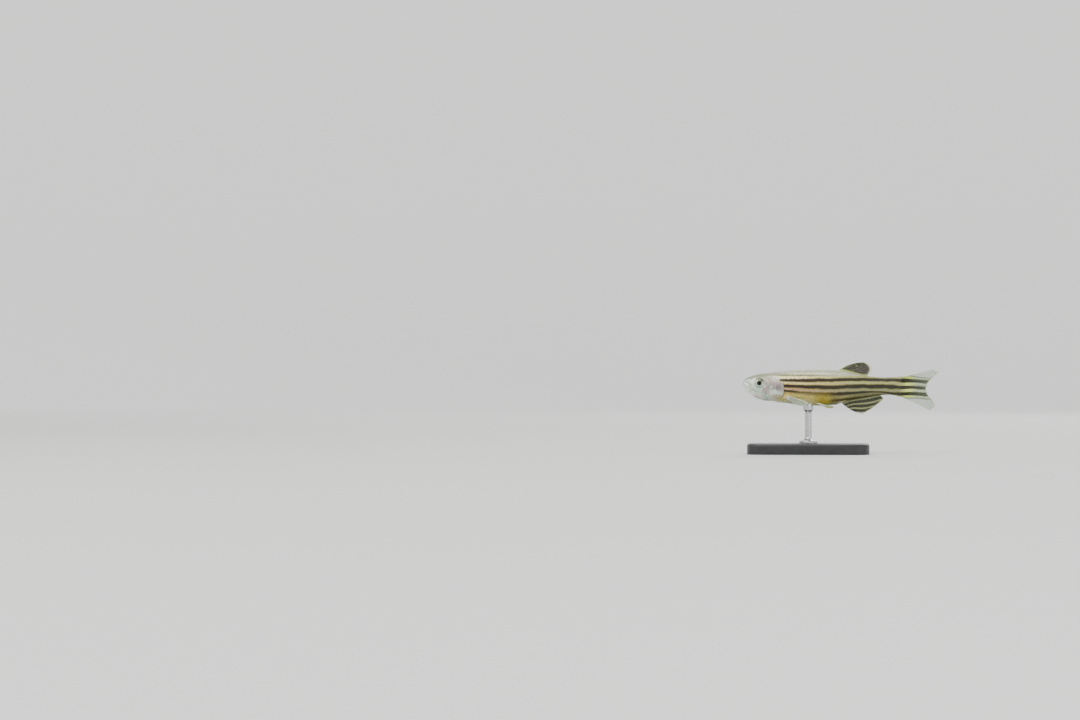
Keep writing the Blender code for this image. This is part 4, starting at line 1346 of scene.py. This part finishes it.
def satin_black():
    """Satin black paint with a fine texture and faint lighter patches of wear."""
    finish = Finish("danio_stand_black", IOR=1.5)
    peel = finish.noise(finish.places(), 3.2, 4.0, 0.55)
    wear = finish.noise(finish.places(), 0.6, 5.0, 0.65)
    colour = finish.ramp(
        wear, 0.0, 1.0, ((0.3, (0.010, 0.010, 0.011)), (0.75, (0.022, 0.022, 0.024)))
    )
    finish.set("Base Color", colour)
    finish.set("Roughness", finish.map(wear, 0.3, 0.75, 0.36, 0.42))
    finish.set("Normal", finish.bump(peel, 0.02, 0.25))
    return finish.material


def turned_steel():
    """Steel with the fine rings that turning leaves, and a few duller patches."""
    finish = Finish("danio_stand_steel", Metallic=1.0, IOR=2.5)
    rings = finish.noise(finish.places((0.3, 0.3, 9.0)), 3.0, 3.0, 0.6)
    haze = finish.noise(finish.places(), 0.8, 3.0)
    colour = finish.ramp(
        rings, 0.0, 1.0, ((0.3, (0.42, 0.43, 0.44)), (0.7, (0.60, 0.61, 0.62)))
    )
    finish.set("Base Color", colour)
    finish.set("Roughness", finish.map(haze, 0.3, 0.7, 0.25, 0.32))
    finish.set("Normal", finish.bump(rings, 0.006, 0.4))
    return finish.material


def make_base():
    """The base: a rounded rectangle that a profile insets, round at the foot and on top.

    The outline is four quarter circles about the corners' middles; a ring near the
    middle of a face is the same outline shrunk.
    """
    low, high = BASE_LOW[2], BASE_HIGH[2]
    half = (BASE_HIGH[:2] - BASE_LOW[:2]) / 2
    turn = (np.arange(4)[:, None] + np.linspace(0, 1, 14)) * np.pi / 2
    ways = np.stack((np.cos(turn), np.sin(turn)), -1)
    signs = np.array(((1, 1), (-1, 1), (-1, -1), (1, -1)))[:, None]
    arc = np.linspace(0, np.pi / 2, 6)
    grow, shrink = 1 - np.sin(arc), 1 - np.cos(arc)
    inset = np.concatenate((BASE_FOOT_ROUND * grow, (0, 0), BASE_ROUND * shrink))
    wall = (low + 0.5, high - BASE_ROUND - 0.3)
    height = np.concatenate((low + BASE_FOOT_ROUND * shrink, wall, high - BASE_ROUND * grow))
    rings = signs * (half - BASE_CORNER) + ways * (BASE_CORNER - inset[:, None, None, None])
    rings = rings.reshape(len(inset), -1, 2)
    shrunk = np.array((0.02, 0.35, 0.7, 0.97))[:, None, None]
    rings = np.concatenate((shrunk * rings[:1], rings, shrunk[::-1] * rings[-1:]))
    height = np.pad(height, 4, mode="edge")
    points = np.concatenate((rings, height[:, None, None] + 0 * rings[..., :1]), -1)
    points = points + (0, ROD_PLACE, -AXIS_HEIGHT)
    nodes = ("stand_base",)
    add_rings("stand_base_rounded", points, satin_black(), nodes, crease=40)


def make_rod():
    """The rod: a profile turned round its axis, whose cup rises to meet the belly it carries.

    Above the neck the height goes from the cup's foot to the underside of the
    body, which depends on the place round the axis. Each corner of the profile
    below it is doubled and the last one repeated, so that they stay crisp.
    """
    foot = BASE_HIGH[2] - AXIS_HEIGHT
    cup_foot = float(body_outline(ROD_PLACE)[1]) - CUP_DEPTH
    profile = np.concatenate((np.add(ROD_FOOT, (0, foot)), np.add(ROD_NECK, (0, cup_foot))))
    last = len(profile) - 1
    corners = np.arange(last + 1)
    sharp = np.clip(np.concatenate((corners - 0.04, corners + 0.04)), 0, last)
    at = np.unique(np.concatenate((sharp, np.arange(0, last + 0.9, 0.25))))
    radius, height = (np.interp(at, corners, column) for column in profile.T)
    side = turned(radius, height, ROD_SIDES)
    rim_radius, rim_share = np.transpose(CUP_WALL)
    cup = turned(rim_radius, rim_share, ROD_SIDES)
    meet = underside_of_body(cup[..., 0], ROD_PLACE + cup[..., 1]) + CUP_SINK
    start = height[-1]
    cup[..., 2] = start + (meet - start) * rim_share[:, None]
    rings = np.concatenate((side, cup)) + (0, ROD_PLACE, 0)
    nodes = ("stand_rod",)
    add_rings("stand_rod_turned", rings, turned_steel(), nodes, crease=50)


class DANIO_OT_stage(Operator):
    """A pale floor that rises all round as a soft backdrop, three soft lights and the camera"""

    bl_idname = "danio.stage"
    bl_label = "Stage"

    def execute(self, context):
        floor = make_floor()
        make_lights()
        make_camera()
        return {"FINISHED"}


def make_floor():
    """A bowl turned round the upright axis: a flat floor, a quarter circle and a wall.

    The farther out, the more it glows, so that the floor runs into the wall unseen.
    """
    arc = np.linspace(0, np.pi / 2, 24)
    bend_end = FLOOR_REACH + FLOOR_BEND
    radius = (0.001, 0.06, 0.3, 0.6, *(FLOOR_REACH + FLOOR_BEND * np.sin(arc)), bend_end)
    height = (0, 0, 0, 0, *(FLOOR_BEND * (1 - np.cos(arc))), FLOOR_BEND + WALL_HEIGHT)
    points = turned(radius, height, 96)
    ring = np.arange(points[..., 0].size).reshape(points.shape[:2])
    after = np.roll(ring, -1, axis=1)
    quads = np.stack((ring[:-1], ring[1:], after[1:], after[:-1]), axis=-1)
    mesh = bpy.data.meshes.new("stage_floor")
    faces = quads.reshape(-1, 4).tolist() + [ring[0].tolist()]
    mesh.from_pydata(points.reshape(-1, 3).tolist(), [], faces)
    mesh.shade_smooth()
    tone = palette()
    finish = Finish("stage_paper", Roughness=0.75)
    source = finish.add("TexCoord", {}).outputs["Object"]
    away = finish.add("VectorMath", {0: source}, operation="LENGTH").outputs["Value"]
    far = finish.map(away, 0.25, 1.0)
    finish.set("Base Color", finish.mix(far, tone["floor"], tone["wall"]))
    finish.set("Emission Color", (1.0, 1.0, 1.0))
    finish.set("Emission Strength", finish.product(far, WALL_GLOW))
    mesh.materials.append(finish.material)
    return place_object("stage_floor", mesh)


def place_object(name, data):
    made = bpy.data.objects.new(name, data)
    bpy.context.scene.collection.objects.link(made)
    return made


def aim_at(made, place, target):
    made.location = place
    made.rotation_euler = (target - made.location).to_track_quat("-Z", "Y").to_euler()


def make_lights():
    """A broad key over the camera's left, a low fill on its right and a light behind."""
    world = bpy.data.worlds.new("studio")
    world.use_nodes = True
    background = world.node_tree.nodes["Background"]
    background.inputs["Color"].default_value = SKY_COLOUR
    background.inputs["Strength"].default_value = SKY_STRENGTH
    bpy.context.scene.world = world
    for name, place, size, power in LIGHTS:
        data = bpy.data.lights.new(name, "AREA")
        data.size = size
        data.energy = power
        aim_at(place_object(name, data), place, Vector((0, 0, AXIS_HEIGHT * MM)))


def make_camera():
    """Broadside to the fish and level with it, aimed ahead so that it stands on the right."""
    data = bpy.data.cameras.new("camera")
    data.sensor_width = SENSOR_WIDTH
    data.lens = LENS_LENGTH
    camera = place_object("camera", data)
    aim_at(camera, CAMERA_PLACE, FRAME_MIDDLE)
    bpy.context.scene.camera = camera


class DANIO_OT_skin(Operator):
    """One skin from snout to tail, with the folds of the head and the stripes of the flank"""

    bl_idname = "danio.skin"
    bl_label = "Skin"

    def execute(self, context):
        make_skin(context.scene.danio_sizes)
        return {"FINISHED"}


class DANIO_OT_scales(Operator):
    """Overlapping scales in staggered rows behind the head"""

    bl_idname = "danio.scales"
    bl_label = "Scales"

    def execute(self, context):
        make_scales(context.scene.danio_sizes)
        return {"FINISHED"}


class DANIO_OT_head(Operator):
    """Both eyes with their corneas, and two pairs of barbels"""

    bl_idname = "danio.head"
    bl_label = "Eyes and barbels"

    def execute(self, context):
        make_eyes(context.scene.danio_sizes)
        make_barbels()
        return {"FINISHED"}


class DANIO_OT_fins(Operator):
    """The dorsal, anal and tail fins and the two pairs of side fins"""

    bl_idname = "danio.fins"
    bl_label = "Fins"

    def execute(self, context):
        sizes = context.scene.danio_sizes
        for kind, slot, finish in (
            ("dorsal", "banded_fin", dorsal_finish()),
            ("anal", "banded_fin", anal_finish()),
            ("caudal", "clear_fin", caudal_finish()),
        ):
            make_fin(kind + "_fin", kind, 1, sizes, finish)
        for kind, slot, web, base in (
            ("pectoral", "clear_fin", "fin_web", "head_silver"),
            ("pelvic", "banded_fin", "fin_yellow", "belly_gold"),
        ):
            finish = paired_finish(f"danio_{kind}_fin", web, base)
            for side, where in ((1, "left"), (-1, "right")):
                make_fin(f"{kind}_fin_{where}", kind, side, sizes, finish)
        return {"FINISHED"}


class DANIO_OT_stand(Operator):
    """The satin black base, and a turned steel rod with a cup for the belly"""

    bl_idname = "danio.stand"
    bl_label = "Stand"

    def execute(self, context):
        make_base()
        make_rod()
        return {"FINISHED"}


class DANIO_PT_panel(Panel):
    """Sizes and colours of the fish, and a button for each group of pieces"""

    bl_idname = "DANIO_PT_panel"
    bl_label = "Zebra danio"
    bl_space_type = "VIEW_3D"
    bl_region_type = "UI"
    bl_category = "Danio"

    def draw(self, context):
        for step in STEPS:
            self.layout.operator(step.bl_idname)
        for group in (context.scene.danio_sizes, context.scene.danio_colours):
            box = self.layout.box()
            for name in group.__annotations__:
                box.prop(group, name)


STEPS = (
    DANIO_OT_stage,
    DANIO_OT_skin,
    DANIO_OT_scales,
    DANIO_OT_head,
    DANIO_OT_fins,
    DANIO_OT_stand,
)
CLASSES = (DanioSizes, DanioColours, *STEPS, DANIO_PT_panel)


def register():
    for made in CLASSES:
        bpy.utils.register_class(made)
    bpy.types.Scene.danio_sizes = PointerProperty(type=DanioSizes)
    bpy.types.Scene.danio_colours = PointerProperty(type=DanioColours)


def unregister():
    del bpy.types.Scene.danio_colours
    del bpy.types.Scene.danio_sizes
    for made in reversed(CLASSES):
        bpy.utils.unregister_class(made)


def main():
    register()
    for step in STEPS:
        group, action = step.bl_idname.split(".")
        getattr(getattr(bpy.ops, group), action)()


if __name__ == "__main__":
    main()
